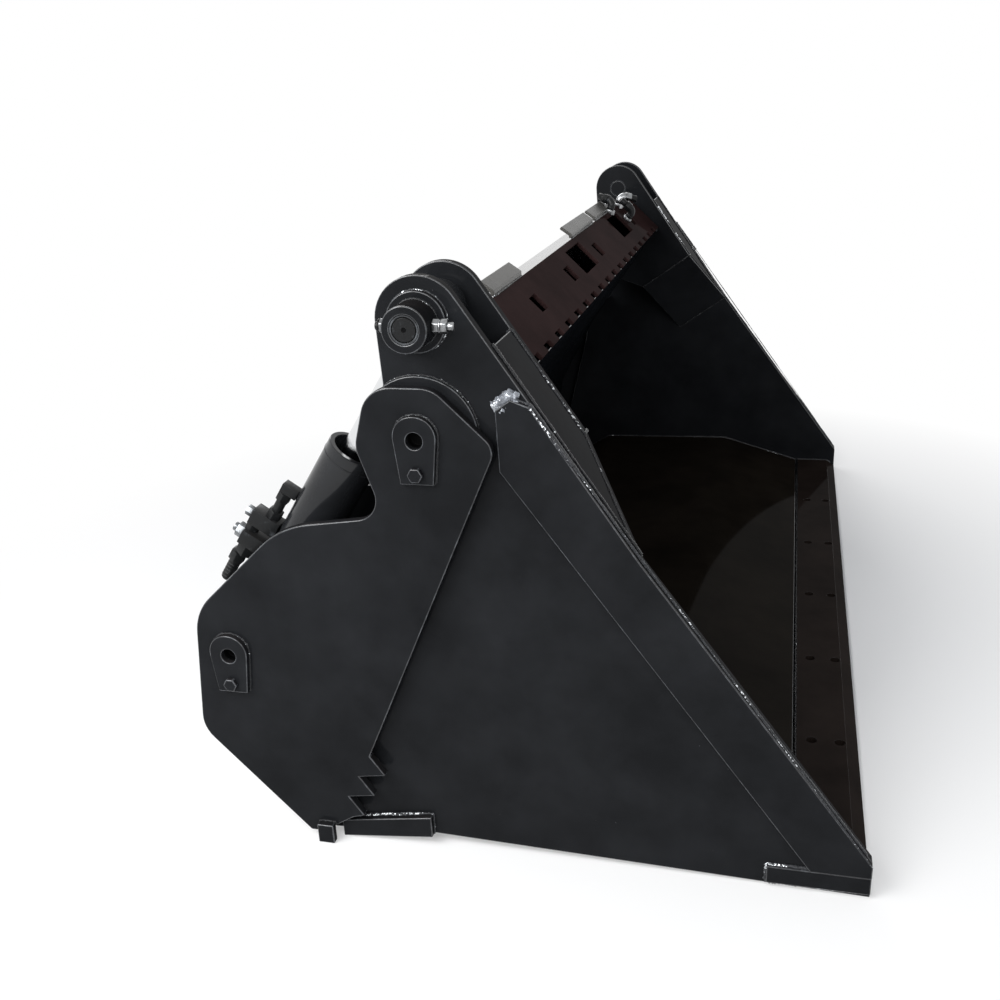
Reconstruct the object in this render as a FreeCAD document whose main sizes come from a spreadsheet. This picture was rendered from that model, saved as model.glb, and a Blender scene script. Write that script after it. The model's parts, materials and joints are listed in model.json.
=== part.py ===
import FreeCAD
import Part
import math
import os
import Sketcher

# Four-in-one loader bucket: a rear blade, and a front clam that opens on two pins.
# Frame: X forward to the cutting edge, Y to the left, Z up, millimetres.
# The origin lies on the ground under the middle of the bucket.
# Places in the side view are given as a distance back from the nose, or as an inset
# from the rear edge, and a height.

SIZES = {
    # overall
    "depth": 985,
    "shell_width": 1830,
    "running_gap": 0.05,
    # walls
    "clam_wall": 16,
    "rear_wall": 14,
    "arm_wall": 16,
    "web_wall": 8,
    "sheet_wall": 8,
    "sole_wall": 10,
    # spaces between the plates of one side, from outside to inside
    "side_gap": 8,
    "arm_room": 96,
    "body_gap": 2,
    "blade_gap": 2,
    # the three pins of a side
    "pin_inset": 384,
    "pin_height": 804,
    "pin_radius": 19,
    "pivot_inset": 378,
    "pivot_height": 654,
    "pivot_radius": 20,
    "base_inset": 65,
    "base_height": 312,
    "base_radius": 19,
    # outline of the clam's side plate
    "nose_height": 58,
    "kink_back": 319,
    "kink_height": 492,
    "ear_radius": 58,
    "neck_inset": 331,
    "neck_height": 700,
    "waist_inset": 317,
    "waist_height": 560,
    "waist_radius": 60,
    "heel_inset": 190,
    "heel_height": 40,
    "heel_lift": 6,
    "sole_inset": 353,
    "sole_lift": 17,
    # strip on the outside of the clam's front edge
    "strip_width": 78,
    "strip_wall": 10,
    "strip_foot": 38,
    "strip_front_height": 697,
    "strip_tip_inset": 481,
    "strip_tip_height": 714,
    "strip_shoulder_inset": 484,
    "strip_shoulder_height": 609,
    # small plates on the outside of the clam
    "patch_length": 141,
    "patch_foot": 8,
    "patch_top": 36,
    "patch_wall": 6,
    "heel_bar_wall": 12,
    "heel_bar_front_top": 52,
    "heel_bar_rear_top": 29,
    "heel_bar_rear_inset": 208,
    "pin_disc_radius": 40,
    "pin_disc_wall": 10,
    "pivot_disc_radius": 80,
    "pivot_disc_gap": 1.5,
    "hub_radius": 34,
    "collar_radius": 30,
    "collar_length": 45,
    # cutting edge and the clam's floor
    "edge_wall": 25,
    "edge_depth": 100,
    "edge_tip": 10,
    "edge_bevel": 20,
    "bolt_pitch": 285,
    "bolt_row_front": 30,
    "bolt_row_rear": 76,
    "bolt_hole_radius": 9,
    "floor_gap": 6,
    "floor_front_height": 24,
    "floor_rise_back": 310,
    "floor_rise_height": 84,
    "floor_fall_inset": 335,
    "floor_fall_height": 78,
    "floor_end_inset": 250,
    "floor_end_height": 28,
    "sole_front_lift": 3,
    "sole_rear_inset": 200,
    # the clam's arms
    "bend_height": 626,
    "bend_length": 150,
    "arm_heel_inset": 317,
    "arm_heel_height": 590,
    "arm_heel_radius": 45,
    "web_top_height": 770,
    "taper_root": 23,
    # outline of the rear side plate
    "lobe_front_inset": 484,
    "lobe_front_height": 643,
    "lobe_front_radius": 25,
    "lobe_top_height": 722,
    "lobe_top_front_inset": 403,
    "lobe_top_front_radius": 40,
    "lobe_top_rear_inset": 313,
    "lobe_top_rear_radius": 45,
    "lobe_rear_inset": 291,
    "lobe_rear_height": 640,
    "lobe_rear_radius": 40,
    "notch_inset": 324,
    "notch_height": 541,
    "notch_radius": 32,
    "shelf_inset": 167,
    "shelf_height": 518,
    "shelf_radius": 140,
    "shoulder_inset": 16,
    "shoulder_height": 376,
    "shoulder_radius": 88,
    "rear_arc_radius": 50,
    "rear_arc_height": 196,
    "toe_inset": 159,
    "toe_front_inset": 179,
    "toe_height": 12,
    "shin_inset": 231,
    "shin_height": 44,
    "tooth_root_inset": 268,
    "tooth_root_height": 157,
    "tooth_step_back": 20,
    "tooth_step_down": 38,
    "tooth_reach": 22,
    "tooth_drop": 31,
    # blade
    "blade_top_inset": 485,
    "blade_top_height": 693,
    "wing_height": 500,
    "blade_bend_inset": 295,
    "blade_bend_height": 430,
    "blade_waist_inset": 200,
    "blade_waist_height": 250,
    "blade_knee_inset": 180,
    "blade_knee_height": 130,
    "blade_foot_inset": 221,
    "blade_foot_height": 32,
    "blade_edge_wall": 14,
    "blade_edge_width": 104,
    "blade_edge_drop": 8,
    "blade_edge_bevel": 10,
    # cover over the top of the blade
    "cover_foot_inset": 493,
    "cover_foot_height": 701,
    "cover_top_inset": 410,
    "cover_top_height": 782,
    "cover_seat_gap": 1,
    "notch_count": 18,
    "notch_pitch": 82,
    "notch_width": 40,
    "notch_depth": 12,
    "slot_width": 42,
    "slot_length": 31,
    "slot_foot": 49,
    "window_width": 138,
    "window_foot": 44,
    "window_length": 58,
    "near_slot": -492,
    "side_slot": 151,
    "window_place": -60,
    "port_window_place": 440,
    # bent lips along the cover's top edge
    "lip_gap": 0.3,
    "lip_riser": 8,
    "lip_width": 26,
    "lip_wall": 6,
    "lip_slope": 35,
    "near_lip_start": -632,
    "near_lip_end": -450,
    "middle_lip_start": -10,
    "middle_lip_end": 239,
    "port_lip_start": 270,
    "port_lip_end": 470,
    # hydraulic fittings at the port end of the cover
    "fitting_nut_radius": 11,
    "fitting_pipe_radius": 8,
    "fitting_start": 495,
    "fitting_nut_length": 24,
    "fitting_pipe_length": 58,
    "fitting_back": 8,
    "seat_gap": 0.3,
    # torque box behind the cover
    "box_top_inset": 317,
    "box_top_height": 738,
    # plate for the loader's quick coupler
    "coupler_width": 1140,
    "coupler_top_inset": 143,
    "coupler_top_height": 470,
    "coupler_foot_inset": 80,
    "coupler_foot_height": 75,
    "coupler_wall": 10,
    "coupler_window_width": 560,
    "coupler_window_height": 210,
    "coupler_window_foot": 120,
    "hook_setback": 2,
    "hook_riser": 34,
    "hook_length": 50,
    "hook_drop": 25,
    "hook_wall": 12,
    "ledge_length": 50,
    "ledge_wall": 12,
    "lock_slot_length": 60,
    "lock_slot_width": 20,
    "lock_slot_inset": 95,
    "rib_wall": 10,
    "rib_window_gap": 30,
    "rib_edge_gap": 40,
    "belly_front_inset": 207,
    "belly_front_height": 30,
    # keepers of the pins
    "pin_overhang": 4,
    "pin_socket_depth": 10,
    "keeper_radius": 33,
    "keeper_round": 29,
    "keeper_wall": 10,
    "keeper_drop": 60,
    "keeper_foot_half": 23,
    "keeper_bolt_drop": 45,
    "keeper_hole_radius": 11.5,
    "bolt_head_radius": 11,
    "bolt_head_height": 8,
    "heel_block_inset": 201,
    "heel_block_length": 26,
    "heel_block_height": 32,
    "heel_block_wall": 12,
    "closure_start": 12,
    "closure_end": 30,
    # cross bolts of the rod pins
    "collar_nut_radius": 10,
    "collar_nut_length": 9,
    "collar_nut_place": 20,
    "rod_pin_recess": 2,
    # cylinders
    "barrel_radius": 40,
    "bore_radius": 32,
    "barrel_foot": 40,
    "barrel_floor": 62,
    "barrel_end": 351,
    "gland_end": 368,
    "rod_radius": 19,
    "rod_play": 6.5,
    "rod_eye_radius": 37,
    "rod_eye_width": 70,
    "rod_neck_radius": 26,
    "rod_neck_length": 8,
    "base_eye_radius": 36,
    "base_eye_width": 70,
    "base_neck_radius": 30,
    "eye_bore_wall": 1,
    "piston_foot": 262,
    "piston_length": 40,
    # oil line on the rear of each barrel
    "tube_radius": 8,
    "tube_offset": 58,
    "port_foot": 224,
    "port_length": 24,
    "block_foot": 160,
    "block_length": 22,
    "block_top": 88,
    "block_half": 12,
    "inlet_offset": 78,
    "inlet_nut_foot": 84,
    "inlet_nut_length": 18,
    "inlet_nut_radius": 13,
}

doc = FreeCAD.newDocument("four_in_one_bucket")
sheet = doc.addObject("Spreadsheet::Sheet", "Sizes")
layout = doc.addObject("App::VarSet", "Layout")
nodes = []


class Size:
    """A number together with the expression that gives it in the document."""

    def __init__(self, value, text):
        self.value = value
        self.text = text

    def join(self, other, sign, value):
        return Size(value, "(%s %s %s)" % (self.text, sign, other.text))

    def __add__(self, other):
        other = size(other)
        return self.join(other, "+", self.value + other.value)

    def __sub__(self, other):
        other = size(other)
        return self.join(other, "-", self.value - other.value)

    def __mul__(self, other):
        other = size(other)
        return self.join(other, "*", self.value * other.value)

    def __truediv__(self, other):
        other = size(other)
        return self.join(other, "/", self.value / other.value)

    def __neg__(self):
        return Size(-self.value, "(0 - %s)" % self.text)

    def __radd__(self, other):
        return size(other) + self

    def __rsub__(self, other):
        return size(other) - self

    def __rmul__(self, other):
        return size(other) * self


def size(number):
    """Any plain number as a Size."""
    if isinstance(number, Size):
        return number
    return Size(float(number), "%.6f" % number)


def root(number):
    return Size(math.sqrt(number.value), "sqrt(%s)" % number.text)


def derive(name, number):
    """Keeps a worked-out size under a name of its own, bound to the sheet."""
    layout.addProperty("App::PropertyFloat", name, "Layout")
    layout.setExpression(name, number.text)
    return Size(number.value, "Layout.%s" % name)


def fill_sheet():
    for row, (name, value) in enumerate(SIZES.items(), start=1):
        sheet.set("A%d" % row, name)
        sheet.set("B%d" % row, "%s" % value)
        sheet.setAlias("B%d" % row, name)
    doc.recompute()
    return {name: Size(float(sheet.get(name)), "Sizes.%s" % name) for name in SIZES}


S = fill_sheet()
NOSE = derive("nose", S["depth"] / 2)
HALF = derive("half_width", S["shell_width"] / 2)
CLAM_INSIDE = derive("clam_inside", HALF - S["clam_wall"])
REAR_INSIDE = derive("rear_inside", HALF + S["side_gap"])
REAR_OUTSIDE = derive("rear_outside", REAR_INSIDE + S["rear_wall"])
ARM_OUTSIDE = derive("arm_outside", CLAM_INSIDE - S["arm_room"])
ARM_INSIDE = derive("arm_inside", ARM_OUTSIDE - S["arm_wall"])
WEB_OUTSIDE = derive("web_outside", ARM_INSIDE - S["body_gap"])
WEB_INSIDE = derive("web_inside", WEB_OUTSIDE - S["rear_wall"])
WING_HALF = derive("wing_half", CLAM_INSIDE - S["blade_gap"])
CYLINDER_LINE = derive("cylinder_line", (CLAM_INSIDE + ARM_OUTSIDE) / 2)


def at(back, height):
    """A place in the side view, from its distance behind the nose."""
    back = S[back] if isinstance(back, str) else size(back)
    height = S[height] if isinstance(height, str) else size(height)
    return (NOSE - back, height)


def from_rear(inset, height):
    """A place in the side view, from its distance in front of the rear edge."""
    inset = S[inset] if isinstance(inset, str) else size(inset)
    height = S[height] if isinstance(height, str) else size(height)
    return (inset - NOSE, height)


def named(name, point):
    return (derive(name + "_x", point[0]), derive(name + "_z", point[1]))


def direction(start, end):
    """Unit vector from one place to another."""
    run = end[0] - start[0]
    rise = end[1] - start[1]
    length = root(run * run + rise * rise)
    return (run / length, rise / length)


def move(point, way, distance):
    return (point[0] + way[0] * distance, point[1] + way[1] * distance)


def turn(way):
    """The unit vector turned a quarter to the left."""
    return (-way[1], way[0])


def mitre(name, corner, before, after, distance):
    """Where two lines, moved sideways by a distance, meet beside their corner."""
    first = turn(before)
    second = turn(after)
    scale = distance / (1 + first[0] * second[0] + first[1] * second[1])
    point = (corner[0] + (first[0] + second[0]) * scale, corner[1] + (first[1] + second[1]) * scale)
    return named(name, point)


def offset(name, points, distance):
    """The open line through points, moved to its left by a distance."""
    ways = []
    for number in range(len(points) - 1):
        way = direction(points[number], points[number + 1])
        ways.append(named("%s_way_%d" % (name, number), way))
    moved = []
    for number, point in enumerate(points):
        before = ways[max(number - 1, 0)]
        after = ways[min(number, len(ways) - 1)]
        moved.append(mitre("%s_corner_%d" % (name, number), point, before, after, distance))
    return moved


def tangent(name, point, centre, radius, side):
    """Unit vector of the line from a point that touches a circle on one side."""
    run = centre[0] - point[0]
    rise = centre[1] - point[1]
    square = derive(name + "_square", run * run + rise * rise)
    along = derive(name + "_along", root(square - radius * radius))
    across = radius * side
    return named(name, ((run * along - rise * across) / square, (rise * along + run * across) / square))


def crossing(point, way, height):
    """The place on a line at a given height."""
    steps = (height - point[1]) / way[1]
    return (point[0] + way[0] * steps, height)


def meeting(point, way, forward):
    """The height of a line at a given place along X."""
    return point[1] + (forward - point[0]) * way[1] / way[0]


def new_body(label):
    body = doc.addObject("PartDesign::Body", label)
    body.Label = label
    return body


def plane(body, role):
    for feature in body.Origin.OriginFeatures:
        if feature.Role == role:
            return feature
    raise ValueError(role)


def pin_vertex(sketch, geometry, position, point):
    """Ties one point of a sketch to its place."""
    for kind, coordinate in (("DistanceX", point[0]), ("DistanceY", point[1])):
        rule = Sketcher.Constraint(kind, -1, 1, geometry, position, coordinate.value)
        number = sketch.addConstraint(rule)
        sketch.setExpression("Constraints[%d]" % number, coordinate.text)


def add_loop(sketch, points):
    first = sketch.GeometryCount
    count = len(points)
    for number in range(count):
        start = points[number]
        end = points[(number + 1) % count]
        line = Part.LineSegment(
            FreeCAD.Vector(start[0].value, start[1].value, 0),
            FreeCAD.Vector(end[0].value, end[1].value, 0),
        )
        sketch.addGeometry(line, False)
    for number in range(count):
        after = first + (number + 1) % count
        sketch.addConstraint(Sketcher.Constraint("Coincident", first + number, 2, after, 1))
        pin_vertex(sketch, first + number, 1, points[number])


def add_circle(sketch, centre, radius):
    middle = FreeCAD.Vector(centre[0].value, centre[1].value, 0)
    number = sketch.addGeometry(Part.Circle(middle, FreeCAD.Vector(0, 0, 1), radius.value), False)
    pin_vertex(sketch, number, 3, centre)
    rule = sketch.addConstraint(Sketcher.Constraint("Radius", number, radius.value))
    sketch.setExpression("Constraints[%d]" % rule, radius.text)


def new_sketch(body, role, loops=(), circles=(), lift=None):
    sketch = body.newObject("Sketcher::SketchObject", body.Name + "_outline")
    sketch.AttachmentSupport = (plane(body, role), [""])
    sketch.MapMode = "FlatFace"
    if lift is not None:
        sketch.AttachmentOffset = FreeCAD.Placement(FreeCAD.Vector(0, 0, lift.value), FreeCAD.Rotation())
        sketch.setExpression("AttachmentOffset.Base.z", lift.text)
    for loop in loops:
        add_loop(sketch, loop)
    for centre, radius in circles:
        add_circle(sketch, centre, radius)
    return sketch


def pad(body, sketch, length, back=False):
    feature = body.newObject("PartDesign::Pad", body.Name + "_pad")
    feature.Profile = sketch
    feature.Length = length.value
    feature.setExpression("Length", length.text)
    feature.Reversed = back
    body.Tip = feature
    doc.recompute()
    return feature


def cut(body, sketch, length, back=False):
    before = body.Shape.Volume
    feature = body.newObject("PartDesign::Pocket", body.Name + "_cut")
    feature.Profile = sketch
    feature.Length = length.value
    feature.setExpression("Length", length.text)
    feature.Reversed = back
    body.Tip = feature
    doc.recompute()
    if not body.Shape.Volume < before - 1:
        raise RuntimeError(body.Label + ": the pocket cuts nothing")
    return feature


def repeat(body, feature, axis, pitch, count):
    """Copies a feature along an axis of its own sketch."""
    before = body.Shape.Volume
    pattern = body.newObject("PartDesign::LinearPattern", body.Name + "_pattern")
    pattern.Originals = [feature]
    pattern.Direction = (feature.Profile[0], [axis])
    pattern.Length = (pitch * (count - 1)).value
    pattern.setExpression("Length", (pitch * (count - 1)).text)
    pattern.Occurrences = int(count.value)
    pattern.setExpression("Occurrences", count.text)
    body.Tip = pattern
    doc.recompute()
    if not body.Shape.Volume < before - 1:
        raise RuntimeError(body.Label + ": the pattern adds nothing")


def round_corners(body, corners, radius):
    """Rounds the edges that stand on the given corners of the outline."""
    tip = body.Tip
    frame = body.Placement.inverse()
    names = []
    for number, edge in enumerate(tip.Shape.Edges, start=1):
        ends = [vertex.Point for vertex in edge.Vertexes]
        if len(ends) != 2 or not isinstance(edge.Curve, Part.Line):
            continue
        for corner in corners:
            if all(near(corner, end) for end in ends):
                names.append("Edge%d" % number)
    if len(names) != len(corners):
        raise RuntimeError("%s: %d of %d corners found" % (body.Label, len(names), len(corners)))
    feature = body.newObject("PartDesign::Fillet", body.Name + "_round")
    feature.Base = (tip, names)
    feature.Radius = radius.value
    feature.setExpression("Radius", radius.text)
    body.Tip = feature
    doc.recompute()


def near(corner, point):
    return abs(corner[0].value - point.x) < 0.01 and abs(corner[1].value - point.z) < 0.01


def place(item, x, y, z, rotation=None):
    """Sets an object down, with its base bound to the sheet."""
    spots = (("x", size(x)), ("y", size(y)), ("z", size(z)))
    item.Placement = FreeCAD.Placement(
        FreeCAD.Vector(*[spot.value for _, spot in spots]), rotation or FreeCAD.Rotation()
    )
    for axis, spot in spots:
        item.setExpression("Placement.Base." + axis, spot.text)


def keep(item, label):
    item.Label = label
    nodes.append(item)
    return item


def mirrored(source, label):
    """The same piece on the other side of the bucket."""
    other = doc.addObject("Part::Mirroring", label)
    other.Source = source
    other.Normal = FreeCAD.Vector(0, 1, 0)
    other.Base = FreeCAD.Vector(0, 0, 0)
    other.Label = label
    return other


def both_sides(source, name):
    """Keeps a right-hand piece and its left-hand twin as two nodes."""
    keep(source, name + "_right")
    keep(mirrored(source, name + "_left"), name + "_left")


def group(items, label):
    """Like pieces that share one node and stay separate solids."""
    bundle = doc.addObject("Part::Compound", label)
    bundle.Links = items
    return keep(bundle, label)


def both_in_one(items, label):
    twins = [mirrored(item, item.Label + "_twin") for item in items]
    return group(items + twins, label)


def side_plate(label, outline, inner, wall, circles=()):
    """A flat plate across Y on the right, from its inner face outwards."""
    body = new_body(label)
    pad(body, new_sketch(body, "XZ_Plane", [outline], circles), wall)
    place(body, 0, -inner, 0)
    return body


def crosswise(label, outline, half):
    """A bar or bent sheet of constant section from side to side."""
    body = new_body(label)
    pad(body, new_sketch(body, "XZ_Plane", [outline]), half * 2)
    place(body, 0, half, 0)
    return body


def turned(label, profile, x, y, z, rotation):
    """A turned piece: pairs of radius and distance along its axis."""
    body = new_body(label)
    sketch = new_sketch(body, "XZ_Plane", [[(size(r), size(a)) for r, a in profile]])
    feature = body.newObject("PartDesign::Revolution", label + "_turn")
    feature.Profile = sketch
    feature.ReferenceAxis = (sketch, ["V_Axis"])
    feature.Angle = 360
    body.Tip = feature
    doc.recompute()
    place(body, x, y, z, rotation)
    return body


def ring(label, radius, bore, length, place_point, inner):
    """A turned ring about a pin, from a distance off the middle outwards."""
    profile = [(bore, 0), (radius, 0), (radius, length), (bore, length)]
    outward = FreeCAD.Rotation(FreeCAD.Vector(1, 0, 0), 90)
    return turned(label, profile, place_point[0], -inner, place_point[1], outward)


def hexagon(label, radius, length):
    prism = doc.addObject("Part::Prism", label)
    prism.Polygon = 6
    prism.Circumradius = radius.value
    prism.setExpression("Circumradius", radius.text)
    prism.Height = length.value
    prism.setExpression("Height", length.text)
    return prism


PIN = from_rear("pin_inset", "pin_height")
PIVOT = from_rear("pivot_inset", "pivot_height")
BASE = from_rear("base_inset", "base_height")
KINK = at("kink_back", "kink_height")
NECK = from_rear("neck_inset", "neck_height")
NOSE_TOP = at(0, "nose_height")
PIN_HOLE = S["pin_radius"] + S["running_gap"]
PIVOT_HOLE = S["pivot_radius"] + S["running_gap"]
BASE_HOLE = S["base_radius"] + S["running_gap"]
HUB_HOLE = S["hub_radius"] + S["running_gap"]
OUTWARD = FreeCAD.Rotation(FreeCAD.Vector(1, 0, 0), 90)


def ear_corner():
    """Corner above the pin whose rounding is the ear's arc about the pin."""
    front = tangent("ear_front", KINK, PIN, S["ear_radius"], size(-1))
    rear = tangent("ear_rear", NECK, PIN, S["ear_radius"], size(1))
    across = front[0] * rear[1] - front[1] * rear[0]
    reach = ((NECK[0] - KINK[0]) * rear[1] - (NECK[1] - KINK[1]) * rear[0]) / across
    return front, named("ear_top", move(KINK, front, reach))


FRONT_WAY, EAR_TOP = ear_corner()
REARWARD = named("rearward", (-FRONT_WAY[1], FRONT_WAY[0]))


def make_clam_sides():
    heel_top = from_rear("heel_inset", "heel_height")
    waist = from_rear("waist_inset", "waist_height")
    outline = [
        at(0, 0),
        from_rear("sole_inset", "sole_lift"),
        from_rear("heel_inset", "heel_lift"),
        heel_top,
        waist,
        NECK,
        EAR_TOP,
        KINK,
        NOSE_TOP,
    ]
    plate = side_plate(
        "clam_side_plate", outline, CLAM_INSIDE, S["clam_wall"], [(PIN, PIN_HOLE), (PIVOT, HUB_HOLE)]
    )
    round_corners(plate, [EAR_TOP], S["ear_radius"])
    round_corners(plate, [waist], S["waist_radius"])
    both_sides(plate, "clam_side_plate")


def make_edge_strips():
    down = named("edge_down", direction(KINK, NOSE_TOP))
    shoulder = from_rear("strip_shoulder_inset", "strip_shoulder_height")
    inner = offset("strip", [shoulder, KINK, NOSE_TOP], size(0))
    sideways = turn(down)
    kink_inside = named("strip_kink", move(KINK, sideways, -S["strip_width"]))
    foot_inside = named("strip_foot_in", crossing(kink_inside, down, S["strip_foot"]))
    outline = [
        at(0, "strip_foot"),
        foot_inside,
        kink_inside,
        inner[0],
        from_rear("strip_tip_inset", "strip_tip_height"),
        named("strip_front", crossing(KINK, FRONT_WAY, S["strip_front_height"])),
        KINK,
        NOSE_TOP,
    ]
    strip = side_plate("edge_strip", outline, HALF, S["strip_wall"])
    both_sides(strip, "edge_strip")


def make_clam_trim():
    patch = side_plate(
        "corner_patch",
        [
            at(0, "patch_foot"),
            at("patch_length", "patch_foot"),
            at("patch_length", "patch_top"),
            at(0, "patch_top"),
        ],
        HALF,
        S["patch_wall"],
    )
    both_in_one([patch], "corner_patches")
    bar = side_plate(
        "heel_bar",
        [
            from_rear("sole_inset", "sole_lift"),
            from_rear("heel_bar_rear_inset", 0),
            from_rear("heel_bar_rear_inset", "heel_bar_rear_top"),
            from_rear("sole_inset", "heel_bar_front_top"),
        ],
        HALF,
        S["heel_bar_wall"],
    )
    both_in_one([bar], "heel_bars")
    disc = ring("pin_disc", S["pin_disc_radius"], PIN_HOLE, S["pin_disc_wall"], PIN, HALF)
    both_in_one([disc], "pin_discs")
    wall = S["side_gap"] - S["pivot_disc_gap"]
    disc = ring("pivot_disc", S["pivot_disc_radius"], HUB_HOLE, wall, PIVOT, HALF)
    both_in_one([disc], "pivot_discs")
    length = HALF + wall - ARM_INSIDE
    hub = ring("pivot_hub", S["hub_radius"], PIVOT_HOLE, length, PIVOT, ARM_INSIDE)
    both_in_one([hub], "pivot_hubs")
    collar = ring(
        "pin_collar", S["collar_radius"], PIN_HOLE, S["collar_length"], PIN, HALF + S["pin_disc_wall"]
    )
    both_in_one([collar], "pin_collars")
    out = HALF + S["pin_disc_wall"] + S["collar_nut_place"]
    nuts = []
    for number, side in enumerate((1, -1)):
        turned_over = FreeCAD.Rotation(FreeCAD.Vector(0, 1, 0), 90 * side)
        nut = hexagon("collar_nut_%d" % number, S["collar_nut_radius"], S["collar_nut_length"])
        reach = (S["collar_radius"] + S["running_gap"]) * side
        place(nut, PIN[0] + reach, -out, PIN[1], turned_over)
        nuts.append(nut)
    both_in_one(nuts, "collar_bolts")


def make_floor():
    edge = crosswise(
        "cutting_edge",
        [
            at(0, 0),
            at("edge_depth", 0),
            at("edge_depth", "edge_wall"),
            at("edge_bevel", "edge_wall"),
            at(0, "edge_tip"),
        ],
        CLAM_INSIDE,
    )
    first = CLAM_INSIDE + S["bolt_pitch"] * 2
    rows = [NOSE - S["bolt_row_front"], NOSE - S["bolt_row_rear"]]
    holes = new_sketch(edge, "XY_Plane", circles=[((row, -first), S["bolt_hole_radius"]) for row in rows])
    drilled = cut(edge, holes, S["edge_wall"] + 1, back=True)
    repeat(edge, drilled, "V_Axis", S["bolt_pitch"], size(5))
    keep(edge, "cutting_edge")
    top = [
        at(S["edge_depth"] + S["floor_gap"], "floor_front_height"),
        at("floor_rise_back", "floor_rise_height"),
        from_rear("floor_fall_inset", "floor_fall_height"),
        from_rear("floor_end_inset", "floor_end_height"),
    ]
    under = offset("floor_under", top, S["sheet_wall"])
    keep(crosswise("floor_plate", top + under[::-1], CLAM_INSIDE), "floor_plate")
    low = [
        at(S["edge_depth"] + 1, "sole_front_lift"),
        from_rear("sole_inset", "sole_lift"),
        from_rear("sole_rear_inset", "sole_front_lift"),
    ]
    high = offset("sole_top", low, -S["sole_wall"])
    keep(crosswise("sole_plate", low + high[::-1], CLAM_INSIDE), "sole_plate")


def make_arms():
    bend_front = named("bend_front", crossing(KINK, FRONT_WAY, S["bend_height"]))
    bend_rear = named("bend_rear", move(bend_front, REARWARD, S["bend_length"]))
    heel = from_rear("arm_heel_inset", "arm_heel_height")
    outline = [bend_front, bend_rear, heel, NECK, EAR_TOP]
    plate = side_plate(
        "arm_plate", outline, ARM_INSIDE, S["arm_wall"], [(PIN, PIN_HOLE), (PIVOT, HUB_HOLE)]
    )
    round_corners(plate, [EAR_TOP], S["ear_radius"])
    round_corners(plate, [heel], S["arm_heel_radius"])
    both_sides(plate, "arm_plate")
    slope = FreeCAD.Vector(FRONT_WAY[0].value, 0, FRONT_WAY[1].value)
    turn_up = FreeCAD.Rotation(slope, FreeCAD.Vector(0, 1, 0), slope.cross(FreeCAD.Vector(0, 1, 0)), "XYZ")
    bend = derive("bend_distance", (S["bend_height"] - S["kink_height"]) / FRONT_WAY[1])
    top = derive("web_top", (S["web_top_height"] - S["kink_height"]) / FRONT_WAY[1])
    web = new_body("arm_web")
    root_end = (S["taper_root"], -CLAM_INSIDE)
    outline = [root_end, (top, -CLAM_INSIDE), (top, -ARM_OUTSIDE), (bend, -ARM_OUTSIDE)]
    pad(web, new_sketch(web, "XY_Plane", [outline]), S["web_wall"])
    place(web, KINK[0], 0, KINK[1], turn_up)
    both_in_one([web], "arm_webs")
    taper = new_body("arm_taper")
    outline = [(size(0), -CLAM_INSIDE), root_end, (bend, -ARM_OUTSIDE), (bend, -ARM_INSIDE)]
    pad(taper, new_sketch(taper, "XY_Plane", [outline]), S["bend_length"])
    place(taper, KINK[0], 0, KINK[1], turn_up)
    both_in_one([taper], "arm_tapers")


def make_rod_pins():
    start = ARM_INSIDE - 1
    length = HALF + S["pin_disc_wall"] + S["collar_length"] - S["rod_pin_recess"] - start
    r = S["pin_radius"]
    profile = [(0, 0), (r, 0), (r, length), (0, length)]
    pin = turned("rod_pin", profile, PIN[0], -start, PIN[1], OUTWARD)
    both_in_one([pin], "rod_pins")


def rear_corner():
    """Corner whose rounding is the arc that touches the overall depth."""
    centre = from_rear("rear_arc_radius", "rear_arc_height")
    shoulder = from_rear("shoulder_inset", "shoulder_height")
    toe = from_rear("toe_inset", "toe_height")
    down = tangent("rear_back", shoulder, centre, S["rear_arc_radius"], size(-1))
    up = tangent("rear_belly", toe, centre, S["rear_arc_radius"], size(1))
    across = down[0] * up[1] - down[1] * up[0]
    reach = ((toe[0] - shoulder[0]) * up[1] - (toe[1] - shoulder[1]) * up[0]) / across
    return named("rear_corner", move(shoulder, down, reach))


REAR_CORNER = rear_corner()


def rear_outline():
    """Corners of the rear side plate from its top round the back to its toe."""
    return [
        from_rear("lobe_top_front_inset", "lobe_top_height"),
        from_rear("lobe_top_rear_inset", "lobe_top_height"),
        from_rear("lobe_rear_inset", "lobe_rear_height"),
        from_rear("notch_inset", "notch_height"),
        from_rear("shelf_inset", "shelf_height"),
        from_rear("shoulder_inset", "shoulder_height"),
        REAR_CORNER,
        from_rear("toe_inset", "toe_height"),
    ]


def round_rear(plate, corners):
    names = ("lobe_top_rear_radius", "lobe_rear_radius", "notch_radius", "shelf_radius", "shoulder_radius",
             "rear_arc_radius")
    for corner, name in zip(corners[1:], names):
        round_corners(plate, [corner], S[name])


def make_rear_sides():
    corners = rear_outline()
    teeth = []
    for number in range(3):
        inset = S["tooth_root_inset"] - S["tooth_step_back"] * number
        height = S["tooth_root_height"] - S["tooth_step_down"] * number
        teeth.append(from_rear(inset, height))
        teeth.append(from_rear(inset + S["tooth_reach"], height - S["tooth_drop"]))
    front = from_rear("lobe_front_inset", "lobe_front_height")
    toe = [from_rear("toe_front_inset", "toe_height"), from_rear("shin_inset", "shin_height")]
    outline = corners + toe + teeth[::-1] + [front]
    plate = side_plate(
        "rear_side_plate", outline, REAR_INSIDE, S["rear_wall"], [(PIVOT, PIVOT_HOLE), (BASE, BASE_HOLE)]
    )
    round_corners(plate, [front], S["lobe_front_radius"])
    round_corners(plate, [corners[0]], S["lobe_top_front_radius"])
    round_rear(plate, corners)
    both_sides(plate, "rear_side_plate")


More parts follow.
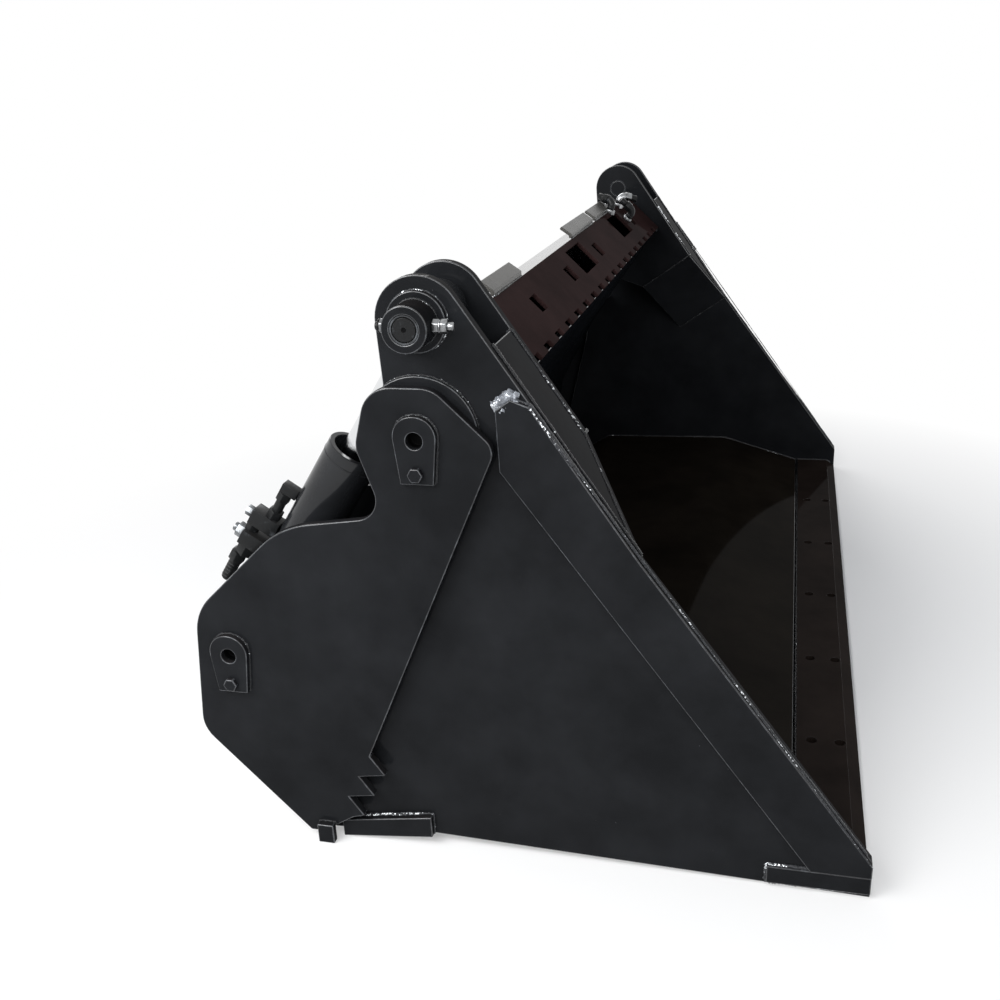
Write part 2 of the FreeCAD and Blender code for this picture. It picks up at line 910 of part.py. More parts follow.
BLADE_FRONT = [
    from_rear("blade_top_inset", "blade_top_height"),
    from_rear("blade_bend_inset", "blade_bend_height"),
    from_rear("blade_waist_inset", "blade_waist_height"),
    from_rear("blade_knee_inset", "blade_knee_height"),
    from_rear("blade_foot_inset", "blade_foot_height"),
]
BLADE_BACK = offset("blade", BLADE_FRONT, -S["sheet_wall"])
COVER_FOOT = from_rear("cover_foot_inset", "cover_foot_height")
COVER_TOP = from_rear("cover_top_inset", "cover_top_height")
COVER_WAY = named("cover_way", direction(COVER_FOOT, COVER_TOP))
COVER_BACK = named("cover_back", turn(COVER_WAY))


def make_blade():
    way = named("blade_top_way", direction(BLADE_FRONT[0], BLADE_FRONT[1]))
    front = named("wing_front", crossing(BLADE_FRONT[0], way, S["wing_height"]))
    back = named("wing_back", crossing(BLADE_BACK[0], way, S["wing_height"]))
    blade = new_body("blade")
    step = WING_HALF - WEB_OUTSIDE
    upper = new_sketch(blade, "XZ_Plane", [[BLADE_FRONT[0], front, back, BLADE_BACK[0]]], lift=step)
    pad(blade, upper, WEB_OUTSIDE * 2)
    lower = [front] + BLADE_FRONT[1:] + BLADE_BACK[:0:-1] + [back]
    pad(blade, new_sketch(blade, "XZ_Plane", [lower]), WING_HALF * 2)
    place(blade, 0, WING_HALF, 0)
    keep(blade, "blade")
    up = named("blade_edge_way", direction(BLADE_FRONT[4], BLADE_FRONT[3]))
    out = named("blade_edge_out", (up[1], -up[0]))
    low = named("blade_edge_low", move(BLADE_FRONT[4], up, -S["blade_edge_drop"]))
    high = named("blade_edge_high", move(low, up, S["blade_edge_width"]))
    outline = [
        low,
        named("blade_edge_low_front", move(move(low, out, S["blade_edge_wall"]), up, S["blade_edge_bevel"])),
        named("blade_edge_high_front", move(high, out, S["blade_edge_wall"])),
        high,
    ]
    keep(crosswise("blade_edge", outline, WING_HALF), "blade_edge")


def make_inner_webs():
    corners = rear_outline()
    behind = S["web_wall"] + S["cover_seat_gap"]
    top = named("cover_rear_top", move(COVER_TOP, COVER_BACK, behind))
    low = named("cover_rear_low", move(COVER_FOOT, COVER_BACK, behind))
    outline = corners[1:] + [from_rear("belly_front_inset", "belly_front_height")]
    outline = outline + BLADE_BACK[:0:-1] + [BLADE_BACK[0], low, top]
    plate = side_plate(
        "inner_web", outline, WEB_INSIDE, S["rear_wall"], [(PIVOT, PIVOT_HOLE), (BASE, BASE_HOLE)]
    )
    round_rear(plate, corners)
    both_sides(plate, "inner_web")


def box_loop(left, low, width, length):
    return [(left, low), (left + width, low), (left + width, low + length), (left, low + length)]


def make_cover():
    slope = FreeCAD.Vector(COVER_WAY[0].value, 0, COVER_WAY[1].value)
    across = FreeCAD.Vector(0, 1, 0)
    lean = FreeCAD.Rotation(across, slope, across.cross(slope), "XYZ")
    length = derive("cover_length", (COVER_TOP[1] - COVER_FOOT[1]) / COVER_WAY[1])
    cover = new_body("top_cover")
    wide, deep = S["slot_width"], S["slot_length"]
    slots = [S["near_slot"]]
    slots += [S["window_place"] - S["side_slot"], S["window_place"] + S["side_slot"]]
    slots += [S["port_window_place"] + S["side_slot"]]
    loops = [box_loop(-WEB_OUTSIDE, size(0), WEB_OUTSIDE * 2, length)]
    for middle in slots:
        loops.append(box_loop(middle - wide / 2, S["slot_foot"], wide, deep))
    for middle in (S["window_place"], S["port_window_place"]):
        left = middle - S["window_width"] / 2
        loops.append(box_loop(left, S["window_foot"], S["window_width"], S["window_length"]))
    pad(cover, new_sketch(cover, "XY_Plane", loops), S["web_wall"], back=True)
    wide, deep = S["notch_width"], S["notch_depth"]
    first = -S["notch_pitch"] * (S["notch_count"] - 1) / 2 - wide / 2
    notch = new_sketch(cover, "XY_Plane", [box_loop(first, size(-1), wide, deep + 1)])
    cutout = cut(cover, notch, S["web_wall"])
    repeat(cover, cutout, "H_Axis", S["notch_pitch"], S["notch_count"])
    place(cover, COVER_FOOT[0], 0, COVER_FOOT[1], lean)
    keep(cover, "top_cover")


def make_torque_box():
    way = direction(BLADE_BACK[0], BLADE_BACK[1])
    rear = S["box_top_inset"] - NOSE
    outer = [
        named("box_front", move(COVER_TOP, COVER_BACK, S["web_wall"])),
        from_rear("box_top_inset", "box_top_height"),
        named("box_foot", (rear, meeting(BLADE_BACK[0], way, rear))),
    ]
    inner = offset("box_inner", outer, S["sheet_wall"])
    inner[2] = named("box_foot_in", (inner[2][0], meeting(BLADE_BACK[0], way, inner[2][0])))
    keep(crosswise("torque_box", outer + inner[::-1], WEB_INSIDE), "torque_box")


def make_coupler_plate():
    top = from_rear("coupler_top_inset", "coupler_top_height")
    foot = from_rear("coupler_foot_inset", "coupler_foot_height")
    way = named("coupler_way", direction(foot, top))
    lean = FreeCAD.Rotation(
        FreeCAD.Vector(0, 1, 0),
        FreeCAD.Vector(way[0].value, 0, way[1].value),
        FreeCAD.Vector(0, 1, 0).cross(FreeCAD.Vector(way[0].value, 0, way[1].value)),
        "XYZ",
    )
    height = derive("coupler_height", (top[1] - foot[1]) / way[1])
    half = S["coupler_width"] / 2
    window = box_loop(
        -S["coupler_window_width"] / 2,
        S["coupler_window_foot"],
        S["coupler_window_width"],
        S["coupler_window_height"],
    )
    plate = new_body("coupler_plate")
    loops = [box_loop(-half, size(0), S["coupler_width"], height), window]
    pad(plate, new_sketch(plate, "XY_Plane", loops), S["coupler_wall"])
    place(plate, foot[0], 0, foot[1], lean)
    keep(plate, "coupler_plate")
    out = turn(way)
    base = named("hook_base", move(top, out, -S["coupler_wall"]))
    throat = named("hook_throat", move(top, out, -S["hook_setback"]))
    inside = named("hook_inside", move(throat, way, S["hook_riser"]))
    nose = named("hook_nose", move(move(inside, out, S["hook_length"]), way, -S["hook_drop"]))
    tip = named("hook_tip", move(nose, way, S["hook_wall"]))
    crest = named("hook_crest", move(base, way, S["hook_riser"] + S["hook_wall"]))
    keep(crosswise("coupler_hook", [base, throat, inside, nose, tip, crest], half), "coupler_hook")
    ledge = new_body("coupler_ledge")
    left = half - S["lock_slot_inset"] - S["lock_slot_length"]
    inset = S["ledge_length"] / 2 - S["lock_slot_width"] / 2
    loops = [
        box_loop(-half, size(0), S["coupler_width"], S["ledge_length"]),
        box_loop(-half + S["lock_slot_inset"], inset, S["lock_slot_length"], S["lock_slot_width"]),
        box_loop(left, inset, S["lock_slot_length"], S["lock_slot_width"]),
    ]
    pad(ledge, new_sketch(ledge, "XY_Plane", loops), S["ledge_wall"])
    flat = FreeCAD.Rotation(FreeCAD.Vector(0, 0, 1), 90)
    place(ledge, foot[0], 0, foot[1] - S["ledge_wall"], flat)
    keep(ledge, "coupler_ledge")
    front_foot = named("rib_foot", move(foot, out, -S["coupler_wall"]))
    toe = from_rear("toe_inset", "toe_height")
    up = named("belly_way", direction(toe, REAR_CORNER))
    across = up[0] * way[1] - up[1] * way[0]
    reach = ((front_foot[0] - toe[0]) * way[1] - (front_foot[1] - toe[1]) * way[0]) / across
    start = from_rear("belly_front_inset", "belly_front_height")
    low = [start, toe, named("belly_end", move(toe, up, reach))]
    high = offset("belly_top", low, -S["sheet_wall"])
    high[2] = named("belly_end_top", move(low[2], way, -S["sheet_wall"] / across))
    keep(crosswise("belly_plate", low + high[::-1], WEB_INSIDE), "belly_plate")
    corner = (BLADE_BACK[3][0], high[2][1])
    outline = [high[2], base] + BLADE_BACK[1:4] + [corner]
    inner = S["coupler_window_width"] / 2 + S["rib_window_gap"]
    outer = half - S["rib_edge_gap"]
    ribs = []
    for number, middle in enumerate((inner, outer)):
        rib = side_plate("rib_%d" % number, outline, middle, S["rib_wall"])
        ribs.append(rib)
    both_in_one(ribs, "rear_ribs")


def make_rear_pins():
    for name, spot, r in (("pivot_pin", PIVOT, S["pivot_radius"]), ("base_pin", BASE, S["base_radius"])):
        start = WEB_INSIDE - S["pin_overhang"]
        length = REAR_OUTSIDE - start
        bore = S["keeper_hole_radius"]
        bottom = length - S["pin_socket_depth"]
        profile = [(0, 0), (r, 0), (r, length), (bore, length), (bore, bottom), (0, bottom)]
        both_in_one([turned(name, profile, spot[0], -start, spot[1], OUTWARD)], name + "s")
    keepers = []
    heads = []
    for number, spot in enumerate((PIVOT, BASE)):
        r = S["keeper_radius"]
        foot = spot[1] - S["keeper_drop"]
        outline = [
            (spot[0] - S["keeper_foot_half"], foot),
            (spot[0] + S["keeper_foot_half"], foot),
            (spot[0] + r, spot[1] + r),
            (spot[0] - r, spot[1] + r),
        ]
        keeper = side_plate(
            "keeper_%d" % number, outline, REAR_OUTSIDE, S["keeper_wall"], [(spot, S["keeper_hole_radius"])]
        )
        round_corners(keeper, [outline[2], outline[3]], S["keeper_round"])
        keepers.append(keeper)
        face = REAR_OUTSIDE + S["keeper_wall"]
        spot_low = spot[1] - S["keeper_bolt_drop"]
        head = hexagon("keeper_bolt_%d" % number, S["bolt_head_radius"], S["bolt_head_height"])
        place(head, spot[0], -face, spot_low, OUTWARD)
        heads.append(head)
    both_in_one(keepers, "pin_keepers")
    both_in_one(heads, "keeper_bolts")


def make_rear_trim():
    low = [from_rear("toe_inset", "toe_height"), REAR_CORNER]
    way = named("closure_way", direction(low[0], low[1]))
    start = named("closure_start", move(low[0], way, S["closure_start"]))
    end = named("closure_end", move(low[1], way, -S["closure_end"]))
    inside = (way[1], -way[0])
    closure = side_plate(
        "heel_closure",
        [
            start,
            end,
            named("closure_end_in", move(end, inside, S["sheet_wall"])),
            named("closure_start_in", move(start, inside, S["sheet_wall"])),
        ],
        WEB_OUTSIDE,
        REAR_INSIDE - WEB_OUTSIDE,
    )
    both_in_one([closure], "heel_closures")
    rear = S["heel_block_inset"] - S["heel_block_length"]
    block = side_plate(
        "heel_block",
        [
            from_rear("heel_block_inset", 0),
            from_rear(rear, 0),
            from_rear(rear, "heel_block_height"),
            from_rear("heel_block_inset", "heel_block_height"),
        ],
        REAR_OUTSIDE,
        S["heel_block_wall"],
    )
    both_in_one([block], "heel_blocks")


def make_lips():
    """Bent strips that stand on the cover's top edge and lean back."""
    foot = named("lip_foot", move(COVER_TOP, (size(0), size(1)), S["lip_gap"]))
    bend = named("lip_bend", move(foot, (size(0), size(1)), S["lip_riser"]))
    slope = S["lip_slope"]
    angle = math.radians(slope.value)
    lean = (
        Size(-math.cos(angle), "(0 - cos(%s * 1 deg))" % slope.text),
        Size(math.sin(angle), "sin(%s * 1 deg)" % slope.text),
    )
    front = [foot, bend, named("lip_end", move(bend, named("lip_way", lean), S["lip_width"]))]
    rear = offset("lip_rear", front, S["lip_wall"])
    lips = []
    for name in ("near_lip", "middle_lip", "port_lip"):
        first = S[name + "_start"]
        last = S[name + "_end"]
        lips.append(side_plate(name, front + rear[::-1], -last, last - first))
    group(lips, "top_lips")


def make_fittings():
    """Couplings of the oil line, in a row on the torque box behind the cover."""
    front = (COVER_TOP[0] + COVER_BACK[0] * S["web_wall"], COVER_TOP[1] + COVER_BACK[1] * S["web_wall"])
    down = named("fitting_way", direction(front, from_rear("box_top_inset", "box_top_height")))
    up = (down[1], -down[0])
    flat = S["fitting_nut_radius"] * math.cos(math.radians(30)) + S["seat_gap"]
    spot = named("fitting_spot", move(move(front, down, S["fitting_back"]), up, flat))
    lean = FreeCAD.Rotation(FreeCAD.Vector(0, 1, 0), math.degrees(math.atan2(up[0].value, up[1].value)))
    lean = lean.multiply(OUTWARD)
    pieces = []
    end = S["fitting_start"]
    for number in range(4):
        kind = "fitting_pipe" if number % 2 else "fitting_nut"
        end = end + S[kind + "_length"]
        piece = hexagon("%s_%d" % (kind, number), S[kind + "_radius"], S[kind + "_length"])
        place(piece, spot[0], end, spot[1], lean)
        pieces.append(piece)
    group(pieces, "hose_fittings")


def cylinder_rotation():
    """Turns the Z axis of a piece onto the line from base pin to rod pin."""
    line = FreeCAD.Vector(PIN[0].value - BASE[0].value, 0, PIN[1].value - BASE[1].value)
    return FreeCAD.Rotation(FreeCAD.Vector(0, 0, 1), line), line.Length


def eye(label, radius, bore, width, shank, rotation, spot):
    """An eye across Y, fused with the turned shank that it is welded to."""
    barrel = doc.addObject("Part::Cylinder", label + "_eye")
    hole = doc.addObject("Part::Cylinder", label + "_hole")
    for item, r, length in ((barrel, radius, width), (hole, bore, width + 2)):
        item.Radius = r.value
        item.setExpression("Radius", r.text)
        item.Height = length.value
        item.setExpression("Height", length.text)
        place(item, 0, length / 2, 0, OUTWARD)
    joined = doc.addObject("Part::Fuse", label + "_joined")
    joined.Base = barrel
    joined.Tool = shank
    bored = doc.addObject("Part::Cut", label)
    bored.Base = joined
    bored.Tool = hole
    place(bored, spot[0], -CYLINDER_LINE, spot[1], rotation)
    return bored


def shank(label, profile):
    return turned(label, profile, 0, 0, 0, FreeCAD.Rotation())


def make_cylinders():
    rotation, reach = cylinder_rotation()
    run = PIN[0] - BASE[0]
    rise = PIN[1] - BASE[1]
    length = derive("cylinder_length", root(run * run + rise * rise))

    def along(label, profile):
        return turned(label, profile, BASE[0], -CYLINDER_LINE, BASE[1], rotation)

    r, bore = S["barrel_radius"], S["bore_radius"]
    neck = S["base_neck_radius"]
    low = BASE_HOLE + S["eye_bore_wall"]
    tube = shank(
        "barrel_tube",
        [
            (0, low),
            (neck, low),
            (neck, S["barrel_foot"]),
            (r, S["barrel_foot"]),
            (r, S["barrel_end"]),
            (bore, S["barrel_end"]),
            (bore, S["barrel_floor"]),
            (0, S["barrel_floor"]),
        ],
    )
    barrel = eye("barrel", S["base_eye_radius"], BASE_HOLE, S["base_eye_width"], tube, rotation, BASE)
    both_sides(barrel, "barrel")
    throat = S["rod_radius"] + S["rod_play"]
    foot, end = S["barrel_end"], S["gland_end"]
    both_sides(along("gland", [(throat, foot), (r, foot), (r, end), (throat, end)]), "gland")
    low = PIN_HOLE + S["eye_bore_wall"]
    neck_end = S["rod_eye_radius"] + S["rod_neck_length"]
    foot = length - S["piston_foot"] - S["piston_length"]
    neck = S["rod_neck_radius"]
    r = S["rod_radius"]
    profile = [(0, -low), (neck, -low), (neck, -neck_end), (r, -neck_end), (r, -foot), (0, -foot)]
    rod = shank("rod_shank", profile)
    rod_eye = eye("piston_rod", S["rod_eye_radius"], PIN_HOLE, S["rod_eye_width"], rod, rotation, PIN)
    both_sides(rod_eye, "piston_rod")
    foot = S["piston_foot"]
    wide = bore - S["rod_play"]
    end = foot + S["piston_length"]
    both_sides(along("piston", [(0, foot), (wide, foot), (wide, end), (0, end)]), "piston")
    make_oil_lines(rotation)


def make_oil_lines(rotation):
    """A tube on the rear of each barrel, from the block at its middle to the port at its end."""
    rear = rotation.multVec(FreeCAD.Vector(-1, 0, 0))
    top = rotation.multVec(FreeCAD.Vector(0, 0, 1))

    def spot(off, high):
        return (BASE[0] + off * rear.x + high * top.x, -CYLINDER_LINE, BASE[1] + off * rear.z + high * top.z)

    def block(label, off, high, wide, tall):
        item = doc.addObject("Part::Box", label)
        for name, value in (("Length", wide), ("Width", S["block_half"] * 2), ("Height", tall)):
            setattr(item, name, value.value)
            item.setExpression(name, value.text)
        corner = spot(off + wide, high)
        place(item, corner[0], corner[1] - S["block_half"], corner[2], rotation)
        return item

    seat = S["barrel_radius"] + S["running_gap"]
    block_end = S["block_foot"] + S["block_length"]
    port_wide = S["tube_offset"] + S["tube_radius"] - seat
    bridge = block("oil_block", seat, S["block_foot"], S["block_top"] - seat, S["block_length"])
    port = block("oil_port", seat, S["port_foot"], port_wide, S["port_length"])
    tube = doc.addObject("Part::Cylinder", "oil_tube")
    pipe = doc.addObject("Part::Cylinder", "oil_pipe")
    lower = S["inlet_nut_foot"] + S["inlet_nut_length"]
    runs = (
        (tube, S["tube_offset"], block_end, S["port_foot"]),
        (pipe, S["inlet_offset"], lower, S["block_foot"]),
    )
    for item, off, start, end in runs:
        item.Radius = S["tube_radius"].value
        item.setExpression("Radius", S["tube_radius"].text)
        item.Height = (end - start).value
        item.setExpression("Height", (end - start).text)
        place(item, *spot(off, start), rotation)
    nut = hexagon("oil_nut", S["inlet_nut_radius"], S["inlet_nut_length"])
    place(nut, *spot(S["inlet_offset"], S["inlet_nut_foot"]), rotation)
    items = [bridge, port, tube, pipe, nut]
    bundle = doc.addObject("Part::Compound", "transfer_tube")
    bundle.Links = items
    both_sides(bundle, "transfer_tube")


def main():
    make_clam_sides()
    make_edge_strips()
    make_clam_trim()
    make_floor()
    make_arms()
    make_rod_pins()
    make_rear_sides()
    make_blade()
    make_inner_webs()
    make_cover()
    make_torque_box()
    make_coupler_plate()
    make_rear_pins()
    make_rear_trim()
    make_lips()
    make_fittings()
    make_cylinders()
    doc.recompute()
    for item in doc.Objects:
        if "Invalid" in item.State or "Error" in item.State:
            raise RuntimeError(item.Label + ": " + ", ".join(item.State))
    for node in nodes:
        if node.Shape.isNull() or not node.Shape.isValid():
            raise RuntimeError(node.Label + ": bad shape")
    os.makedirs("parts", exist_ok=True)
    for node in nodes:
        node.Shape.exportStep(os.path.join("parts", node.Label + ".step"))
    print(len(nodes), "nodes")


main()
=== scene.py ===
"""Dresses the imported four-in-one loader bucket: paint, weld beads, fittings, floor and light."""

import json
import math
import random

import bmesh
import bpy
from bpy.props import FloatProperty, FloatVectorProperty, IntProperty, PointerProperty
from mathutils import Matrix, Vector
from mathutils.bvhtree import BVHTree


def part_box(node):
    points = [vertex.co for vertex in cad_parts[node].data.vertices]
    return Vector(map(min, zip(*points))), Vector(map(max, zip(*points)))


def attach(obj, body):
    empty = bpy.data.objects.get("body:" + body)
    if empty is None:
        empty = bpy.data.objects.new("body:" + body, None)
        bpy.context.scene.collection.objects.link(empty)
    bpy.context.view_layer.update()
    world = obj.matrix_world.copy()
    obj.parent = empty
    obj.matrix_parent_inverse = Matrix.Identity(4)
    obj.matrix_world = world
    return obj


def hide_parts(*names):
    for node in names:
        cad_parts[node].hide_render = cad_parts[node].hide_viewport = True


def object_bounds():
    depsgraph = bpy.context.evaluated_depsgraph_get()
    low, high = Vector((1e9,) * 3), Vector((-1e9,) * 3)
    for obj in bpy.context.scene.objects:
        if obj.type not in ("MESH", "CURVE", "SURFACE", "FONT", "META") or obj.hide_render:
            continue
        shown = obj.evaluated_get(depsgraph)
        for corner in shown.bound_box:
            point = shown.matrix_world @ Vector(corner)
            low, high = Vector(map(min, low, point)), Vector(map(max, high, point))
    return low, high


bl_info = {
    "name": "Four-in-one Bucket Dressing",
    "version": (1, 0, 0),
    "blender": (4, 5, 0),
    "location": "View3D > Sidebar > Bucket",
    "description": "Paint, weld beads, fittings and studio for a clamshell loader bucket",
    "category": "Object",
}

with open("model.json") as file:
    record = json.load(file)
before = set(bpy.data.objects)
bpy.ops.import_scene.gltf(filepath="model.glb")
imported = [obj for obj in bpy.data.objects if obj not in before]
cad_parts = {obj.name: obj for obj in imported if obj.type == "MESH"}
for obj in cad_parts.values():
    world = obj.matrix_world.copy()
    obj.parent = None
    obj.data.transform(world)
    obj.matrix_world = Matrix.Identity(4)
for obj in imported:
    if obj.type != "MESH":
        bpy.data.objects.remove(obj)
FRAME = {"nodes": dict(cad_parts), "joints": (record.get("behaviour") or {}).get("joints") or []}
NODES = FRAME["nodes"]
CAD_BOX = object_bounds()

SIDES = ("right", "left")
EDGE_ANGLE = math.radians(32)
MERGE_GAP = 2e-5
BEAD_SIDES = 1
SEAM_SAMPLE = 0.008
SEAM_ANGLE = 0.35
SEAM_REACH = 0.0014
SHORTEST_BEAD = 0.012
SPATTER_PITCH = 0.03
SPATTER_SHARE = 0.45
SPATTER_REACH = 0.03
ROD_EYE_REACH = 0.046
BEAD_LOWEST = 0.004
BEAD_FOREMOST = 0.487
PLAIN_EDGES = ("lip_lit_paint", "cover_paint")
CAP_LOW = (-0.0126, 0.6901)
CAP_HIGH = (0.0200, 0.7136)
CAP_RUNS = (-0.006, 0.0, 0.005)
NUT_LINE = 0.945
NUT_SEAT = 0.03905
PIPE_OFF = 0.078
TUBE_OFF = 0.058
UPPER_BLOCK = 0.171
LOWER_BLOCK = 0.134
PIN_RINGS = (
    (((0.0, 0.0001), (0.0030, 0.0003)), 32, 1),
    (((0.0030, 0.0003), (0.0034, 0.0012), (0.0146, 0.0012), (0.0150, 0.0009)), 64, 0),
    (((0.0150, 0.0009), (0.0151, 0.0002), (0.0163, 0.0002), (0.0164, 0.0009)), 64, 1),
    (((0.0164, 0.0009), (0.0168, 0.0013), (0.0184, 0.0013), (0.0190, 0.0004), (0.0190, 0.0)), 64, 2),
)
GLAND_RINGS = (
    (((0.0320, 0.3450), (0.0320, 0.3522), (0.0328, 0.3530), (0.0390, 0.3530), (0.0398, 0.3522),
      (0.0398, 0.3510), (0.0330, 0.3510), (0.0330, 0.3450), (0.0320, 0.3450)), 0),
    (((0.0262, 0.3180), (0.0262, 0.3290), (0.0268, 0.3296), (0.0318, 0.3296), (0.0318, 0.3180),
      (0.0262, 0.3180)), 1),
    (((0.0402, 0.3345), (0.0407, 0.3350), (0.0407, 0.3362), (0.0402, 0.3367), (0.0402, 0.3345)), 0),
)
FERRULE = ((0.0, 0.046), (0.0070, 0.046), (0.0086, 0.048), (0.0086, 0.083), (0.0, 0.083))
FERRULE_RIB = ((0.0084, 0.0), (0.0092, 0.001), (0.0092, 0.003), (0.0084, 0.004))
COVER_PORTS = (
    (-0.0790, 0.590, 0.7795, (0.30, 0, 0.95), -60, True), (-0.0790, 0.455, 0.7795, (0.30, 0, 0.95), 60, False),
    (-0.0520, 0.545, 0.7520, (0.698, 0, 0.716), 100, False),
)
FITTING_ROW = (
    (0.000, 0.022, 0.0108, "nut"), (0.022, 0.038, 0.0085, "round"), (0.038, 0.052, 0.0108, "nut"),
    (0.052, 0.084, 0.0078, "round"), (0.084, 0.106, 0.0108, "nut"), (0.106, 0.122, 0.0092, "round"),
    (0.122, 0.136, 0.0108, "nut"), (0.136, 0.163, 0.0080, "round"),
)
LAMPS = (
    ("key_lamp", (-2.0, -2.6, 2.9), (-0.1, -0.6, 0.5), (2.0, 2.0), 0.62),
    ("near_lamp", (-0.5, -2.3, 1.5), (-0.05, -0.93, 0.62), (1.4, 1.0), 0.17),
    ("fill_lamp", (2.2, -3.6, 2.0), (0.1, 0, 0.3), (2.6, 2.0), 0.25),
    ("back_lamp", (-2.2, 3.4, 3.2), (-0.2, 0, 0.4), (3.0, 1.8), 0.5),
)
CAMERA_PLACE = (0.3444, -2.2245, 1.0814)
CAMERA_RIGHT = (0.96833, 0.24558, -0.04506)
CAMERA_UP = (-0.04645, 0.35453, 0.93389)


class BucketPaint(bpy.types.PropertyGroup):
    """Colours and surface of the paint."""

    paint_colour: FloatVectorProperty(
        name="Paint", description="Black machine paint", subtype="COLOR", size=3, min=0, max=1,
        default=(0.0104, 0.0111, 0.0124),
    )
    # Brown of dust, used also for the painted floor reflection low down.
    dust_and_reflection_colour: FloatVectorProperty(
        name="Dust", description="Brown workshop dust that settles on the paint", subtype="COLOR", size=3,
        min=0, max=1, default=(0.060, 0.042, 0.034),
    )
    # Chips on edges: real wear, and also painted glints along the edges.
    wear_and_glint_colour: FloatVectorProperty(
        name="Worn edge", description="Where the paint is thin on edges", subtype="COLOR", size=3,
        min=0, max=1, default=(0.055, 0.060, 0.066),
    )
    gloss: FloatProperty(
        name="Roughness", description="Roughness of the clean paint", default=0.26, min=0.02, max=1,
        subtype="FACTOR",
    )
    edge_width: FloatProperty(
        name="Edge width", description="Width of the worn arris on plates", default=0.0016, min=0.0002,
        max=0.01, unit="LENGTH",
    )


class BucketWelds(bpy.types.PropertyGroup):
    """Size and unevenness of the weld beads."""

    bead_radius: FloatProperty(
        name="Bead radius", description="Half width of a plate weld", default=0.0048, min=0.001, max=0.02,
        unit="LENGTH",
    )
    ripple_pitch: FloatProperty(
        name="Ripple pitch", description="Distance between two ripples of a bead", default=0.0045, min=0.001,
        max=0.02, unit="LENGTH",
    )
    unevenness: FloatProperty(
        name="Unevenness", description="How much the hand-made beads vary", default=0.32, min=0, max=1,
        subtype="FACTOR",
    )
    seed: IntProperty(name="Seed", description="Start of the random draws", default=7, min=0)


class BucketStage(bpy.types.PropertyGroup):
    """Floor, light and camera."""

    floor_colour: FloatVectorProperty(
        name="Floor", description="Pale studio floor", subtype="COLOR", size=3, min=0, max=1,
        default=(0.93, 0.93, 0.93),
    )
    lamp_power: FloatProperty(
        name="Lamp power", description="Power of the main lamp", default=150, min=0, max=5000, unit="POWER",
    )
    lens: FloatProperty(
        name="Lens", description="Focal length that matches the picture", default=39.6, min=10, max=300,
        unit="CAMERA",
    )


def settings():
    scene = bpy.context.scene
    return scene.bucket_paint, scene.bucket_welds, scene.bucket_stage


# Materials

def socket(interface, name, way, kind, default=None):
    made = interface.new_socket(name=name, in_out=way, socket_type=kind)
    if default is not None:
        made.default_value = default
    return made


def add(tree, kind, place, **values):
    """A shader node with its properties and unlinked inputs set by name."""
    node = tree.nodes.new(kind)
    node.location = place
    for name, value in values.items():
        if hasattr(node, name):
            setattr(node, name, value)
        else:
            node.inputs[name.replace("_", " ")].default_value = value
    return node


def link(tree, start, end):
    tree.links.new(start, end)


def maths(tree, operation, place, first, second=None, clamp=False):
    node = add(tree, "ShaderNodeMath", place, operation=operation, use_clamp=clamp)
    for number, value in enumerate((first, second)):
        if value is None:
            continue
        if isinstance(value, (int, float)):
            node.inputs[number].default_value = value
        else:
            link(tree, value, node.inputs[number])
    return node.outputs[0]


def noise(tree, place, vector, scale, detail=3.0, roughness=0.5):
    node = add(tree, "ShaderNodeTexNoise", place, Scale=scale, Detail=detail, Roughness=roughness)
    link(tree, vector, node.inputs["Vector"])
    return node.outputs["Fac"]


def ramp(tree, place, value, low, high, out_low=0.0, out_high=1.0):
    node = add(tree, "ShaderNodeMapRange", place)
    node.inputs["From Min"].default_value = low
    node.inputs["From Max"].default_value = high
    node.inputs["To Min"].default_value = out_low
    node.inputs["To Max"].default_value = out_high
    link(tree, value, node.inputs["Value"])
    return node.outputs["Result"]


def mix_colour(tree, place, factor, first, second):
    node = add(tree, "ShaderNodeMix", place, data_type="RGBA")
    for number, value in ((0, factor), (6, first), (7, second)):
        if isinstance(value, (int, float, tuple)):
            node.inputs[number].default_value = value
        else:
            link(tree, value, node.inputs[number])
    return node.outputs[2]


def sprayed_coat_group():
    """Height and shade of paint sprayed by hand over rolled plate."""
    tree = bpy.data.node_groups.new("Sprayed coat", "ShaderNodeTree")
    socket(tree.interface, "Vector", "INPUT", "NodeSocketVector")
    socket(tree.interface, "Peel scale", "INPUT", "NodeSocketFloat", 420.0)
    socket(tree.interface, "Wave scale", "INPUT", "NodeSocketFloat", 5.0)
    socket(tree.interface, "Height", "OUTPUT", "NodeSocketFloat")
    socket(tree.interface, "Shade", "OUTPUT", "NodeSocketFloat")
    start = tree.nodes.new("NodeGroupInput")
    end = tree.nodes.new("NodeGroupOutput")
    peel = add(tree, "ShaderNodeTexNoise", (-400, 200), Detail=2.0, Roughness=0.5)
    link(tree, start.outputs["Vector"], peel.inputs["Vector"])
    link(tree, start.outputs["Peel scale"], peel.inputs["Scale"])
    wave = add(tree, "ShaderNodeTexNoise", (-400, -100), Detail=1.5, Roughness=0.4)
    link(tree, start.outputs["Vector"], wave.inputs["Vector"])
    link(tree, start.outputs["Wave scale"], wave.inputs["Scale"])
    fine = maths(tree, "MULTIPLY", (-150, 200), peel.outputs["Fac"], 0.10)
    height = maths(tree, "ADD", (50, 100), fine, wave.outputs["Fac"])
    link(tree, height, end.inputs["Height"])
    runs = noise(tree, (-400, -400), start.outputs["Vector"], 14.0, 4.0, 0.6)
    both = maths(tree, "ADD", (50, -250), wave.outputs["Fac"], runs)
    shade = maths(tree, "MULTIPLY", (250, -250), both, 0.5)
    link(tree, shade, end.inputs["Shade"])
    return tree


